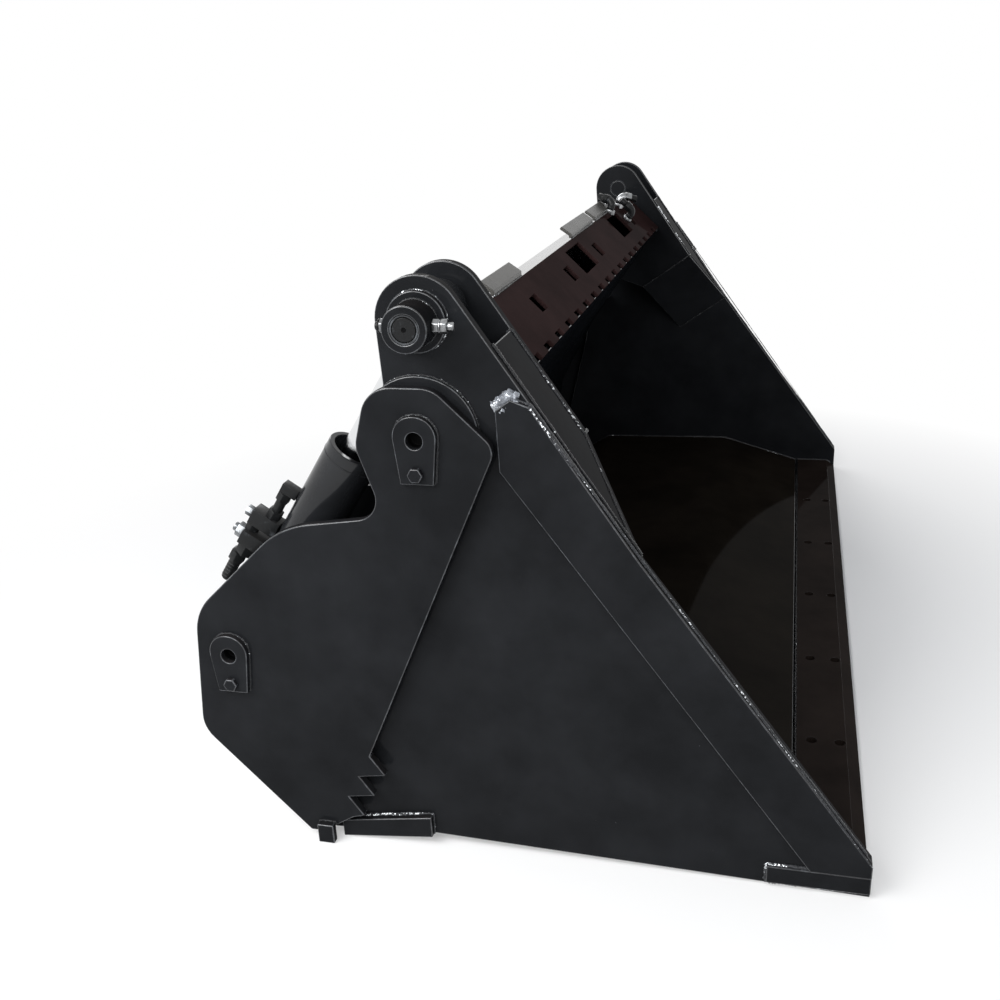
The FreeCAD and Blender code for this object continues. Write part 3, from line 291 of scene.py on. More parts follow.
def dust_and_low_reflection_group():
    """Mask of dust on faces that look up, and of a brown painted floor reflection near the ground, broken up by
    noise.
    """
    tree = bpy.data.node_groups.new("Dust and low reflection", "ShaderNodeTree")
    socket(tree.interface, "Vector", "INPUT", "NodeSocketVector")
    socket(tree.interface, "Normal", "INPUT", "NodeSocketVector")
    socket(tree.interface, "Upward", "INPUT", "NodeSocketFloat", 0.5)
    socket(tree.interface, "Low down", "INPUT", "NodeSocketFloat", 0.3)
    socket(tree.interface, "Mask", "OUTPUT", "NodeSocketFloat")
    start = tree.nodes.new("NodeGroupInput")
    end = tree.nodes.new("NodeGroupOutput")
    place = add(tree, "ShaderNodeSeparateXYZ", (-500, 0))
    link(tree, start.outputs["Vector"], place.inputs[0])
    look = add(tree, "ShaderNodeSeparateXYZ", (-500, 200))
    link(tree, start.outputs["Normal"], look.inputs[0])
    up = ramp(tree, (-300, 200), look.outputs["Z"], 0.15, 0.95)
    up = maths(tree, "MULTIPLY", (-100, 200), up, start.outputs["Upward"])
    # Brown tint near the ground: painted reflection of the floor.
    low = ramp(tree, (-300, 0), place.outputs["Z"], 0.32, 0.0)
    low = maths(tree, "MULTIPLY", (-100, 0), low, start.outputs["Low down"])
    patches = noise(tree, (-300, -200), start.outputs["Vector"], 9.0, 6.0, 0.62)
    patches = ramp(tree, (-100, -200), patches, 0.38, 0.72)
    both = maths(tree, "MAXIMUM", (100, 100), up, low)
    mask = maths(tree, "MULTIPLY", (300, 0), both, patches, clamp=True)
    link(tree, mask, end.inputs["Mask"])
    return tree


def worn_patches_group():
    """Mask of thin or chipped places, for edges and bare steel."""
    tree = bpy.data.node_groups.new("Worn patches", "ShaderNodeTree")
    socket(tree.interface, "Vector", "INPUT", "NodeSocketVector")
    socket(tree.interface, "Scale", "INPUT", "NodeSocketFloat", 60.0)
    socket(tree.interface, "Amount", "INPUT", "NodeSocketFloat", 0.5)
    socket(tree.interface, "Mask", "OUTPUT", "NodeSocketFloat")
    start = tree.nodes.new("NodeGroupInput")
    end = tree.nodes.new("NodeGroupOutput")
    grain = add(tree, "ShaderNodeTexNoise", (-300, 0), Detail=5.0, Roughness=0.65)
    link(tree, start.outputs["Vector"], grain.inputs["Vector"])
    link(tree, start.outputs["Scale"], grain.inputs["Scale"])
    lifted = maths(tree, "ADD", (-100, 0), grain.outputs["Fac"], start.outputs["Amount"])
    mask = ramp(tree, (100, 0), lifted, 0.92, 1.08)
    link(tree, mask, end.inputs["Mask"])
    return tree


GROUPS = {}
MATERIALS = {}


def group(tree, name, place, **values):
    node = tree.nodes.new("ShaderNodeGroup")
    node.node_tree = GROUPS[name]
    node.location = place
    for key, value in values.items():
        node.inputs[key.replace("_", " ")].default_value = value
    return node


def new_material(name, **values):
    """A material with its shader, and Object coordinates to read."""
    made = bpy.data.materials.new(name)
    made.use_nodes = True
    tree = made.node_tree
    shader = tree.nodes["Principled BSDF"]
    for key, value in values.items():
        shader.inputs[key.replace("_", " ")].default_value = value
    places = add(tree, "ShaderNodeTexCoord", (-1200, 0))
    return made, tree, shader, places.outputs["Object"]


def painted(name, colour, roughness, dust, coat_weight, wear=0.0, bump=0.0011, spread=0.10, shine=0.0):
    """Gloss machine paint on plate, with dust, a brown painted floor reflection low down, and uneven spray."""
    paint = bpy.context.scene.bucket_paint
    made, tree, shader, place = new_material(
        name, Coat_Weight=coat_weight, Coat_Roughness=0.06, Specular_IOR_Level=shine
    )
    coat = group(tree, "Sprayed coat", (-900, -200))
    link(tree, place, coat.inputs["Vector"])
    normal = add(tree, "ShaderNodeNewGeometry", (-1200, -300)).outputs["True Normal"]
    # The second dust value sets the brown painted floor reflection near the ground.
    film = group(tree, "Dust and low reflection", (-900, 100), Upward=dust[0], Low_down=dust[1])
    link(tree, place, film.inputs["Vector"])
    link(tree, normal, film.inputs["Normal"])
    dark = tuple(c * 0.72 for c in colour) + (1.0,)
    light = tuple(c * 1.30 for c in colour) + (1.0,)
    shade = ramp(tree, (-650, 300), coat.outputs["Shade"], 0.36, 0.64)
    tone = mix_colour(tree, (-450, 300), shade, dark, light)
    if wear:
        chips = group(tree, "Worn patches", (-900, 400), Scale=70.0, Amount=wear)
        link(tree, place, chips.inputs["Vector"])
        tone = mix_colour(tree, (-300, 350), chips.outputs["Mask"], tone, tuple(paint.wear_and_glint_colour) + (1.0,))
    tone = mix_colour(tree, (-150, 300), film.outputs["Mask"], tone, tuple(paint.dust_and_reflection_colour) + (1.0,))
    link(tree, tone, shader.inputs["Base Color"])
    gloss = ramp(tree, (-450, 0), coat.outputs["Shade"], 0.3, 0.7, roughness - spread / 2, roughness + spread / 2)
    dull = maths(tree, "MULTIPLY", (-450, -150), film.outputs["Mask"], 0.45)
    link(tree, maths(tree, "ADD", (-250, 0), gloss, dull, clamp=True), shader.inputs["Roughness"])
    relief = add(tree, "ShaderNodeBump", (-250, -300), Strength=1.0, Distance=bump)
    link(tree, coat.outputs["Height"], relief.inputs["Height"])
    link(tree, relief.outputs["Normal"], shader.inputs["Normal"])
    MATERIALS[name] = made


def weld_paint(name, colour, glints):
    """Paint over weld metal: lumpy, with small places that mirror the light."""
    made, tree, shader, place = new_material(name, Coat_Weight=0.12, Coat_Roughness=0.05, Specular_IOR_Level=0.2)
    lumps = noise(tree, (-800, 0), place, 230.0, 3.0, 0.6)
    fine = noise(tree, (-800, -250), place, 900.0, 2.0, 0.5)
    fine = maths(tree, "MULTIPLY", (-600, -250), fine, 0.35)
    height = maths(tree, "ADD", (-450, -100), lumps, fine)
    relief = add(tree, "ShaderNodeBump", (-250, -200), Strength=1.0, Distance=0.0022)
    link(tree, height, relief.inputs["Height"])
    link(tree, relief.outputs["Normal"], shader.inputs["Normal"])
    areas = noise(tree, (-800, 400), place, 17.0, 2.0, 0.5)
    areas = ramp(tree, (-600, 400), areas, 0.42, 0.60, -0.16, 0.04)
    spots = maths(tree, "ADD", (-450, 400), lumps, areas)
    spots = ramp(tree, (-300, 400), spots, glints, glints + 0.05)
    dark = tuple(c * 0.9 for c in colour) + (1.0,)
    light = tuple(c * 2.4 for c in colour) + (1.0,)
    tone = mix_colour(tree, (-450, 200), ramp(tree, (-600, 200), lumps, 0.4, 0.75), dark, light)
    tone = mix_colour(tree, (-150, 300), spots, tone, (0.74, 0.77, 0.80, 1.0))
    link(tree, tone, shader.inputs["Base Color"])
    link(tree, spots, shader.inputs["Metallic"])
    link(tree, ramp(tree, (-450, 50), fine, 0.1, 0.25, 0.12, 0.30), shader.inputs["Roughness"])
    MATERIALS[name] = made


def bare_metal(name, colour, roughness, streaks, wear, coat=0.0):
    """Turned or plated steel with fine marks and a little grime."""
    made, tree, shader, place = new_material(name, Metallic=1.0, Coat_Weight=coat, Coat_Roughness=0.05)
    marks = noise(tree, (-800, -200), place, streaks, 2.0, 0.5)
    grime = group(tree, "Worn patches", (-900, 150), Scale=38.0, Amount=wear)
    link(tree, place, grime.inputs["Vector"])
    dirty = tuple(c * 0.45 for c in colour) + (1.0,)
    tone = mix_colour(tree, (-450, 200), grime.outputs["Mask"], tuple(colour) + (1.0,), dirty)
    link(tree, tone, shader.inputs["Base Color"])
    rough = ramp(tree, (-550, 0), marks, 0.3, 0.7, roughness * 0.75, roughness * 1.3)
    more = maths(tree, "MULTIPLY", (-550, -60), grime.outputs["Mask"], 0.2)
    link(tree, maths(tree, "ADD", (-300, 0), rough, more, clamp=True), shader.inputs["Roughness"])
    relief = add(tree, "ShaderNodeBump", (-250, -250), Strength=0.6, Distance=0.0002)
    link(tree, marks, relief.inputs["Height"])
    link(tree, relief.outputs["Normal"], shader.inputs["Normal"])
    MATERIALS[name] = made


class BUCKET_OT_materials(bpy.types.Operator):
    """Make the shader groups and materials"""

    bl_idname = "bucket.materials"
    bl_label = "Make Materials"

    def execute(self, context):
        paint = context.scene.bucket_paint
        GROUPS["Sprayed coat"] = sprayed_coat_group()
        GROUPS["Dust and low reflection"] = dust_and_low_reflection_group()
        GROUPS["Worn patches"] = worn_patches_group()
        colour = tuple(paint.paint_colour)
        # Edges and the strip weld are 2.2 times lighter than the paint: a painted highlight along them.
        edge_highlight_colour = tuple(c * 2.2 for c in colour)
        barrel_colour = tuple(c * 1.1 for c in colour)
        painted("black_paint", colour, paint.gloss, (0.12, 0.0), 0.11)
        painted("box_paint", colour, 0.25, (0.1, 0.0), 0.5, shine=0.5)
        # Worn edge: real chips, plus a lighter colour that is a painted highlight along the edges.
        painted("worn_paint_edge", edge_highlight_colour, 0.20, (0.1, 0.1), 0.35, wear=0.46, bump=0.0006, shine=0.35)
        # Blade inside the bucket painted darker and bluer than the paint: painted shade.
        painted("inside_shaded_paint", (0.0066, 0.0074, 0.0088), 0.30, (0.04, 0.02), 0.045)
        painted("floor_paint", (0.0106, 0.0086, 0.0066), 0.30, (0.04, 0.02), 0.045)
        painted("cutting_paint", (0.0165, 0.0122, 0.0105), 0.30, (0.05, 0.05), 0.04)
        painted("cover_paint", (0.0300, 0.0165, 0.0160), 0.32, (0.0, 0.0), 0.035)
        # Lips painted light grey, far lighter than the black paint: painted light on their faces.
        painted("lip_lit_paint", (0.075, 0.073, 0.068), 0.25, (0.1, 0.0), 0.05, shine=0.1)
        painted("barrel_paint", barrel_colour, 0.22, (0.1, 0.1), 0.45, bump=0.0004, shine=0.12)
        painted("fitting_paint", (0.010, 0.0105, 0.0110), 0.36, (0.1, 0.1), 0.10, wear=0.35, shine=0.12)
        # Near-black for pins in their sockets, the gland's face and pin-face grooves: painted shade in hollows.
        painted("dark_hollow", (0.0022, 0.0023, 0.0025), 0.6, (0.0, 0.0), 0.0, shine=0.05)
        weld_paint("weld_paint", colour, 0.66)
        # Weld paint twice as light, with more bright spots: painted highlight on these beads.
        weld_paint("highlight_weld", tuple(c * 2.0 for c in colour), 0.54)
        # Strip seam weld in the lighter edge colour: a painted highlight line.
        weld_paint("strip_highlight_weld", edge_highlight_colour, 0.74)
        # Cap weld fifteen times lighter than the paint: painted highlight.
        weld_paint("cap_highlight_weld", tuple(c * 15.0 for c in colour), 0.44)
        bare_metal("chrome_rod", (0.80, 0.81, 0.82), 0.07, 1500.0, 0.18)
        bare_metal("pin_steel", (0.20, 0.21, 0.22), 0.30, 700.0, 0.45)
        bare_metal("plated_bolt", (0.34, 0.35, 0.36), 0.15, 500.0, 0.5, 0.5)
        return {"FINISHED"}


# Pins in their sockets are near-black: painted shade. The blade takes painted shade and the lips painted light.
NODE_MATERIALS = {
    "cutting_edge": "cutting_paint", "floor_plate": "floor_paint", "blade": "inside_shaded_paint",
    "blade_edge": "cutting_paint", "top_cover": "cover_paint", "piston_rod": "chrome_rod",
    "piston": "pin_steel", "pivot_pins": "dark_hollow", "base_pins": "dark_hollow", "barrel": "barrel_paint",
    "keeper_bolts": "black_paint", "collar_bolts": "plated_bolt", "transfer_tube": "fitting_paint",
    "hose_fittings": "plated_bolt", "top_lips": "lip_lit_paint", "torque_box": "box_paint",
}


def base_name(node):
    for side in SIDES:
        if node.endswith("_" + side):
            return node[: -len(side) - 1]
    return node


def break_edges(node, width):
    """Small bevels in the second material on an object's sharp edges."""
    merge = node.modifiers.new("Merge", "WELD")
    merge.merge_threshold = MERGE_GAP
    flat = node.modifiers.new("Flat faces", "DECIMATE")
    flat.decimate_type = "DISSOLVE"
    flat.angle_limit = math.radians(0.6)
    edges = node.modifiers.new("Broken edges", "BEVEL")
    edges.limit_method = "ANGLE"
    edges.angle_limit = EDGE_ANGLE
    edges.width = width
    edges.segments = 2
    edges.material = 1
    edges.use_clamp_overlap = True
    shade = node.modifiers.new("Flat shading", "WEIGHTED_NORMAL")
    shade.mode = "FACE_AREA"
    shade.weight = 80


class BUCKET_OT_frame(bpy.types.Operator):
    """Paint the CAD plates and break their edges"""

    bl_idname = "bucket.frame"
    bl_label = "Paint the Frame"

    def execute(self, context):
        paint = context.scene.bucket_paint
        for name, node in NODES.items():
            finish = NODE_MATERIALS.get(base_name(name), "black_paint")
            # Bevels get the worn edge material, which also carries a painted highlight.
            edge = "worn_paint_edge" if finish.endswith("_paint") and finish not in PLAIN_EDGES else finish
            node.data.materials.clear()
            node.data.materials.append(MATERIALS[finish])
            node.data.materials.append(MATERIALS[edge])
            rod_end = None
            if base_name(name) == "piston_rod":
                node.data.materials.append(MATERIALS["barrel_paint"])
                rod_end = joint_place("rod_hinge_" + name.rsplit("_", 1)[1])
            for polygon in node.data.polygons:
                polygon.use_smooth = True
                polygon.material_index = 0
                if rod_end is not None:
                    away = polygon.center - rod_end
                    polygon.material_index = 2 if math.hypot(away.x, away.z) < ROD_EYE_REACH else 0
            if "custom_normal" in node.data.attributes:
                node.data.attributes.remove(node.data.attributes["custom_normal"])
            break_edges(node, paint.edge_width)
        return {"FINISHED"}


# Welds

def merged(node):
    """The node's own triangles with their corners joined."""
    work = bmesh.new()
    work.from_mesh(NODES[node].data)
    bmesh.ops.remove_doubles(work, verts=work.verts, dist=MERGE_GAP)
    return work


def surface(node):
    """A tree that finds the nearest place on a node."""
    work = merged(node)
    tree = BVHTree.FromBMesh(work)
    work.free()
    return tree


def key(point):
    """The same value for points less than about 0.2 mm apart, so that lines can be joined there."""
    return tuple(round(c * 5000) for c in point)


def chains(segments):
    """Joins short segments end to end into lines of points."""
    meets = {}
    for start, end in segments:
        meets.setdefault(key(start), []).append((start, end))
        meets.setdefault(key(end), []).append((end, start))
    used = set()
    lines = []

    def walk(origin):
        line = [origin]
        here = key(origin)
        while True:
            onward = None
            for near_end, far_end in meets[here]:
                mark = frozenset((here, key(far_end)))
                if mark not in used and key(far_end) != here:
                    onward = (far_end, mark)
                    break
            if onward is None:
                return line
            used.add(onward[1])
            line.append(onward[0])
            here = key(onward[0])

    ends = [spot for spot, joined in meets.items() if len(joined) != 2]
    for spot in ends + list(meets):
        while True:
            line = walk(meets[spot][0][0])
            if len(line) < 2:
                break
            lines.append(line)
    return lines


def seams(first, second):
    """Lines along the sharp edges of one node where they lie on another."""
    tree = surface(second)
    work = merged(first)
    found = []
    for edge in work.edges:
        if len(edge.link_faces) != 2 or edge.calc_face_angle(0.0) < SEAM_ANGLE:
            continue
        start, end = (vert.co.copy() for vert in edge.verts)
        steps = max(1, math.ceil((end - start).length / SEAM_SAMPLE))
        points = [start.lerp(end, step / steps) for step in range(steps + 1)]
        touch = [tree.find_nearest(point, SEAM_REACH)[0] is not None for point in points]
        for number in range(steps):
            if touch[number] and touch[number + 1]:
                found.append((points[number], points[number + 1]))
    work.free()
    return chains(found)


def resample(line, pitch):
    """Points along a line at an even pitch."""
    lengths = [0.0]
    for start, end in zip(line, line[1:]):
        lengths.append(lengths[-1] + (end - start).length)
    total = lengths[-1]
    count = max(2, round(total / pitch))
    points = []
    place = 0
    for number in range(count + 1):
        want = total * number / count
        while place < len(lengths) - 2 and lengths[place + 1] < want:
            place += 1
        span = lengths[place + 1] - lengths[place]
        share = (want - lengths[place]) / span if span > 1e-9 else 0.0
        points.append(line[place].lerp(line[place + 1], min(max(share, 0.0), 1.0)))
    return points


def add_bead(curve, line, radius, pitch, unevenness, draw):
    """One weld bead along a line: a tube whose width swells with each ripple."""
    points = resample(line, pitch / 2)
    spline = curve.splines.new("POLY")
    spline.points.add(len(points) - 1)
    drift = 1.0
    closed = (line[0] - line[-1]).length < 1e-4
    for number, point in enumerate(points):
        drift += (draw.random() - 0.5) * unevenness * 0.5
        drift = min(max(drift, 1 - unevenness), 1 + unevenness)
        ripple = 1.0 if number % 2 else 0.80
        jitter = Vector([(draw.random() - 0.5) * radius * 0.22 for _ in range(3)])
        spline.points[number].co = (*(point + jitter), 1.0)
        spline.points[number].radius = radius * ripple * drift * (1 + (draw.random() - 0.5) * unevenness * 0.6)
    if not closed:
        spline.points[0].radius *= 0.45
        spline.points[-1].radius *= 0.45


def add_spatter(work, lines, tree, draw):
    """Small drops of weld metal on the plate beside a bead."""
    for line in lines:
        for point in resample(line, SPATTER_PITCH)[1:-1]:
            if draw.random() > SPATTER_SHARE:
                continue
            aside = Vector([(draw.random() - 0.5) * SPATTER_REACH for _ in range(3)])
            spot = tree.find_nearest(point + aside, SPATTER_REACH)[0]
            if spot is None:
                continue
            size = draw.uniform(0.0005, 0.0013)
            there = Matrix.Translation(spot)
            drop = bmesh.ops.create_icosphere(work, subdivisions=1, radius=size, matrix=there)
            for face in {face for vert in drop["verts"] for face in vert.link_faces}:
                face.smooth = True


def bead_object(name, lines, radius, body, seed, finish="weld_paint", near=None):
    """A mesh of beads along lines, with spatter on the plate near them, riding on a body."""
    welds = bpy.context.scene.bucket_welds
    draw = random.Random(welds.seed + seed)
    curve = bpy.data.curves.new(name + "_path", "CURVE")
    curve.dimensions = "3D"
    curve.bevel_depth = 1.0
    curve.bevel_resolution = BEAD_SIDES
    curve.use_fill_caps = True
    for line in lines:
        if sum((b - a).length for a, b in zip(line, line[1:])) > SHORTEST_BEAD:
            add_bead(curve, line, radius, welds.ripple_pitch, welds.unevenness, draw)
    tube = bpy.data.objects.new(name + "_tube", curve)
    bpy.context.scene.collection.objects.link(tube)
    shape = bpy.data.meshes.new_from_object(tube)
    bpy.data.objects.remove(tube)
    bpy.data.curves.remove(curve)
    shape.name = name
    for polygon in shape.polygons:
        polygon.use_smooth = True
    if near is not None:
        work = bmesh.new()
        work.from_mesh(shape)
        add_spatter(work, lines, near, draw)
        work.to_mesh(shape)
        work.free()
    made = bpy.data.objects.new(name, shape)
    bpy.context.scene.collection.objects.link(made)
    shape.materials.clear()
    shape.materials.append(MATERIALS[finish])
    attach(made, body)


# Highlight and strip welds are painted lighter: painted highlights on those beads.
SIDE_SEAMS = {
    "welds_strip": ("clam", 0.5, "strip_highlight_weld", [("edge_strip_{s}", "clam_side_plate_{s}")]),
    "welds_discs": ("clam", 0.34, "highlight_weld", [("pin_discs", "clam_side_plate_{s}")]),
    "welds_collars": ("clam", 0.40, "weld_paint", [("pin_collars", "pin_discs")]),
    "welds_pivot": ("clam", 0.42, "weld_paint", [("pivot_discs", "clam_side_plate_{s}")]),
    "welds_heel": ("clam", 0.75, "highlight_weld", [
        ("heel_bars", "clam_side_plate_{s}"), ("corner_patches", "clam_side_plate_{s}"),
    ]),
    "welds_arm": ("clam", 0.55, "weld_paint", [
        ("arm_webs", "clam_side_plate_{s}"),
        ("arm_tapers", "clam_side_plate_{s}"), ("arm_tapers", "arm_plate_{s}"),
        ("pivot_hubs", "arm_plate_{s}"), ("pivot_hubs", "clam_side_plate_{s}"), ("arm_tapers", "arm_webs"),
    ]),
    "welds_web_edge": ("clam", 0.5, "highlight_weld", [("arm_webs", "arm_plate_{s}")]),
    "welds_floor": ("clam", 0.9, "weld_paint", [
        ("floor_plate", "clam_side_plate_{s}"), ("sole_plate", "clam_side_plate_{s}"),
        ("cutting_edge", "clam_side_plate_{s}"),
    ]),
    "welds_keepers": ("rear_body", 0.55, "weld_paint", [
        ("pin_keepers", "rear_side_plate_{s}"), ("heel_blocks", "rear_side_plate_{s}"),
        ("heel_closures", "rear_side_plate_{s}"), ("heel_closures", "inner_web_{s}"),
    ]),
    "welds_web": ("rear_body", 0.9, "weld_paint", [
        ("blade", "inner_web_{s}"), ("inner_web_{s}", "blade"), ("top_cover", "inner_web_{s}"),
        ("inner_web_{s}", "top_cover"), ("torque_box", "inner_web_{s}"), ("belly_plate", "inner_web_{s}"),
    ]),
}
MIDDLE_SEAMS = {
    "welds_coupler": ("rear_body", 1.1, "weld_paint", [
        ("rear_ribs", "coupler_plate"), ("rear_ribs", "blade"), ("coupler_hook", "coupler_plate"),
        ("coupler_ledge", "coupler_plate"), ("coupler_plate", "coupler_ledge"), ("belly_plate", "blade"),
    ]),
    "welds_top": ("rear_body", 0.5, "weld_paint", [
        ("top_lips", "top_cover"), ("blade", "top_cover"), ("blade_edge", "blade"), ("torque_box", "blade"),
    ]),
    "welds_sole": ("clam", 1.1, "weld_paint", [
        ("sole_plate", "cutting_edge"), ("sole_plate", "floor_plate"), ("floor_plate", "sole_plate"),
    ]),
}


def on_side(lines, side):
    """Only the lines on one side of the bucket's middle."""
    sign = -1 if side == "right" else 1
    return [line for line in lines if line[0].y * sign > 0]


def cap_line():
    """The blunt end of the front strips: a place on it, its way and the way out of it."""
    first = Vector((CAP_LOW[0], 0, CAP_LOW[1]))
    way = (Vector((CAP_HIGH[0], 0, CAP_HIGH[1])) - first).normalized()
    return first, way, Vector((-way.z, 0, way.x))


def clear_of_floor(lines):
    """Leaves out what would stand below the floor or in front of the cutting edge."""
    kept = [[point for point in line if point.z > BEAD_LOWEST and point.x < BEAD_FOREMOST] for line in lines]
    return [line for line in kept if len(line) > 2]


def below_cap(lines):
    """Leaves out what would stand above the blunt end of the front strips."""
    first, _, over = cap_line()
    kept = [[point for point in line if (point - first).dot(over) < 0] for line in lines]
    return [line for line in kept if len(line) > 2]


class BUCKET_OT_welds(bpy.types.Operator):
    """Lay weld beads where the plates meet"""

    bl_idname = "bucket.welds"
    bl_label = "Lay Welds"

    def execute(self, context):
        radius = context.scene.bucket_welds.bead_radius
        for number, (name, (body, size, finish, pairs)) in enumerate(SIDE_SEAMS.items()):
            for side in SIDES:
                lines = []
                for first, second in pairs:
                    lines += on_side(seams(first.format(s=side), second.format(s=side)), side)
                if name == "welds_strip":
                    lines = below_cap(lines)
                lines = clear_of_floor(lines)
                near = surface(pairs[0][1].format(s=side)) if body == "clam" else None
                bead_object(name + "_" + side, lines, radius * size, body, number, finish, near)
        for number, (name, (body, size, finish, pairs)) in enumerate(MIDDLE_SEAMS.items()):
            lines = []
            for first, second in pairs:
                lines += seams(first, second)
            lines = clear_of_floor(lines)
            bead_object(name, lines, radius * size, body, 20 + number, finish)
        for side in SIDES:
            self.edge_runs(side, radius)
        return {"FINISHED"}

    def edge_runs(self, side, radius):
        """The strip with its blunt top end, and the heavy weld that caps it."""
        sign = -1 if side == "right" else 1
        low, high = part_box("edge_strip_" + side)
        inner, outer = sorted((low.y, high.y), key=abs)
        first, way, over = cap_line()
        last = Vector((CAP_HIGH[0], 0, CAP_HIGH[1]))
        work = merged("edge_strip_" + side)
        whole = work.verts[:] + work.edges[:] + work.faces[:]
        bmesh.ops.bisect_plane(work, geom=whole, plane_co=first, plane_no=over, clear_outer=True)
        bmesh.ops.holes_fill(work, edges=[edge for edge in work.edges if edge.is_boundary], sides=0)
        bmesh.ops.recalc_face_normals(work, faces=work.faces)
        bmesh.ops.triangulate(work, faces=work.faces[:])
        face = [vert.co.copy() for vert in work.verts if abs(vert.co.y - outer) < 0.0015]
        nose = max(face, key=lambda point: (round(point.x, 4), point.z))
        above = [point for point in face if point.z > nose.z + 0.05]
        top = max(above, key=lambda point: (round((point.x - nose.x) / (point.z - nose.z), 3), point.z))
        strip = assembled("blunt_strip_" + side, [(work, Matrix(), 0)], "clam",
                          ["black_paint", "worn_paint_edge"])
        break_edges(strip, bpy.context.scene.bucket_paint.edge_width)
        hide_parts("edge_strip_" + side)
        runs = []
        for aside in CAP_RUNS:
            place = Vector((0, inner + 0.003 * sign, 0)) + over * aside
            runs.append([first + place, last + place - way * abs(aside)])
        # Cap weld beads in a far lighter colour: painted highlight.
        bead_object("strip_cap_" + side, runs, radius * 1.6, "clam", 40, "cap_highlight_weld")
        # Thin beads along the front edge in highlight weld paint: a painted highlight line.
        middle = top.lerp(nose, 0.12)
        bead_object("strip_edge_weld_" + side, [[top, middle]], radius * 0.45, "clam", 41, "highlight_weld")
        bead_object("strip_edge_run_" + side, [[middle, nose]], radius * 0.22, "clam", 42, "highlight_weld")


# Turned and hexagonal pieces

def lathe(profile, steps=48):
    """A turned piece from pairs of radius and distance along Z."""
    work = bmesh.new()
    verts = [work.verts.new((radius, 0.0, along)) for radius, along in profile]
    edges = [work.edges.new(pair) for pair in zip(verts, verts[1:])]
    bmesh.ops.spin(work, geom=verts + edges, cent=(0, 0, 0), axis=(0, 0, 1), angle=math.tau, steps=steps,
                   use_merge=True)
    bmesh.ops.remove_doubles(work, verts=work.verts, dist=1e-6)
    bmesh.ops.recalc_face_normals(work, faces=work.faces)
    return work


def rod(radius, start, end, chamfer=0.0008, sides=32):
    """A solid round bar along Z with broken ends, or a hexagon with six sides."""
    work = bmesh.new()
    bmesh.ops.create_cone(work, cap_ends=True, segments=sides, radius1=radius, radius2=radius, depth=end - start,
                          matrix=Matrix.Translation((0, 0, (start + end) / 2)))
    rim = [edge for edge in work.edges if abs(edge.verts[0].co.z - edge.verts[1].co.z) < 1e-6 or sides == 6]
    bmesh.ops.bevel(work, geom=rim, offset=chamfer, affect="EDGES", segments=2, profile=0.5, material=-1)
    return work


def nut(radius, start, end):
    return rod(radius, start, end, 0.0007, 6)


def elbow(radius, bend, steps=12):
    """A quarter bend of round tube from the Z axis towards X."""
    work = bmesh.new()
    ring = bmesh.ops.create_circle(work, cap_ends=False, segments=24, radius=radius)["verts"]
    edges = list({edge for vert in ring for edge in vert.link_edges})
    bmesh.ops.spin(work, geom=ring + edges, cent=(bend, 0, 0), axis=(0, 1, 0), angle=math.pi / 2, steps=steps)
    bmesh.ops.holes_fill(work, edges=work.edges, sides=0)
    bmesh.ops.recalc_face_normals(work, faces=work.faces)
    return work


def block(size, place, chamfer=0.0012):
    work = bmesh.new()
    bmesh.ops.create_cube(work, size=1.0, matrix=Matrix.Translation(place) @ Matrix.Diagonal((*size, 1.0)))
    bmesh.ops.bevel(work, geom=work.edges[:], offset=chamfer, affect="EDGES", segments=2, profile=0.5, material=-1)
    return work


def assembled(name, pieces, body, finishes):
    """One object from pieces, each with its place and the number of its finish."""
    whole = bmesh.new()
    for work, place, finish in pieces:
        work.transform(place)
        for face in work.faces:
            face.material_index = finish
            face.smooth = True
        part = bpy.data.meshes.new("part")
        work.to_mesh(part)
        work.free()
        whole.from_mesh(part)
        bpy.data.meshes.remove(part)
    shape = bpy.data.meshes.new(name)
    whole.to_mesh(shape)
    whole.free()
    shape.set_sharp_from_angle(angle=math.radians(35))
    for finish in finishes:
        shape.materials.append(MATERIALS[finish])
    made = bpy.data.objects.new(name, shape)
    bpy.context.scene.collection.objects.link(made)
    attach(made, body)
    return made


def joint_place(name):
    for joint in FRAME["joints"]:
        if joint["name"] == name:
            return Vector(joint["pos_m"])
    raise ValueError(name)


def cylinder_frame(side):
    """Z along the cylinder from its base pin, X to its rear, Y across."""
    start = joint_place("barrel_hinge_" + side)
    along = (joint_place("rod_hinge_" + side) - start).normalized()
    across = Vector((0, -1, 0))
    rear = across.cross(along)
    return Matrix.Translation(start) @ Matrix((rear, across, along)).transposed().to_4x4()


def facing(place, way):
    """A place whose Z points a given way."""
    return Matrix.Translation(place) @ Vector(way).to_track_quat("Z", "Y").to_matrix().to_4x4()


def port_elbow(place, bright):
    """An elbow screwed into a port, with its nuts and the end of a pipe."""
    body = 0 if bright else 1
    turned = place @ Matrix.Translation((0.012, 0, 0.026)) @ Matrix.Rotation(math.pi / 2, 4, "Y")
    return [
        (nut(0.0125, -0.004, 0.007), place.copy(), 0), (rod(0.0088, 0.007, 0.014, 0.0006), place.copy(), 1),
        (elbow(0.0088, 0.012), place @ Matrix.Translation((0, 0, 0.014)), body),
        (nut(0.0118, 0.0, 0.014), turned.copy(), body), (rod(0.0078, 0.014, 0.030, 0.001), turned.copy(), 1),
    ]


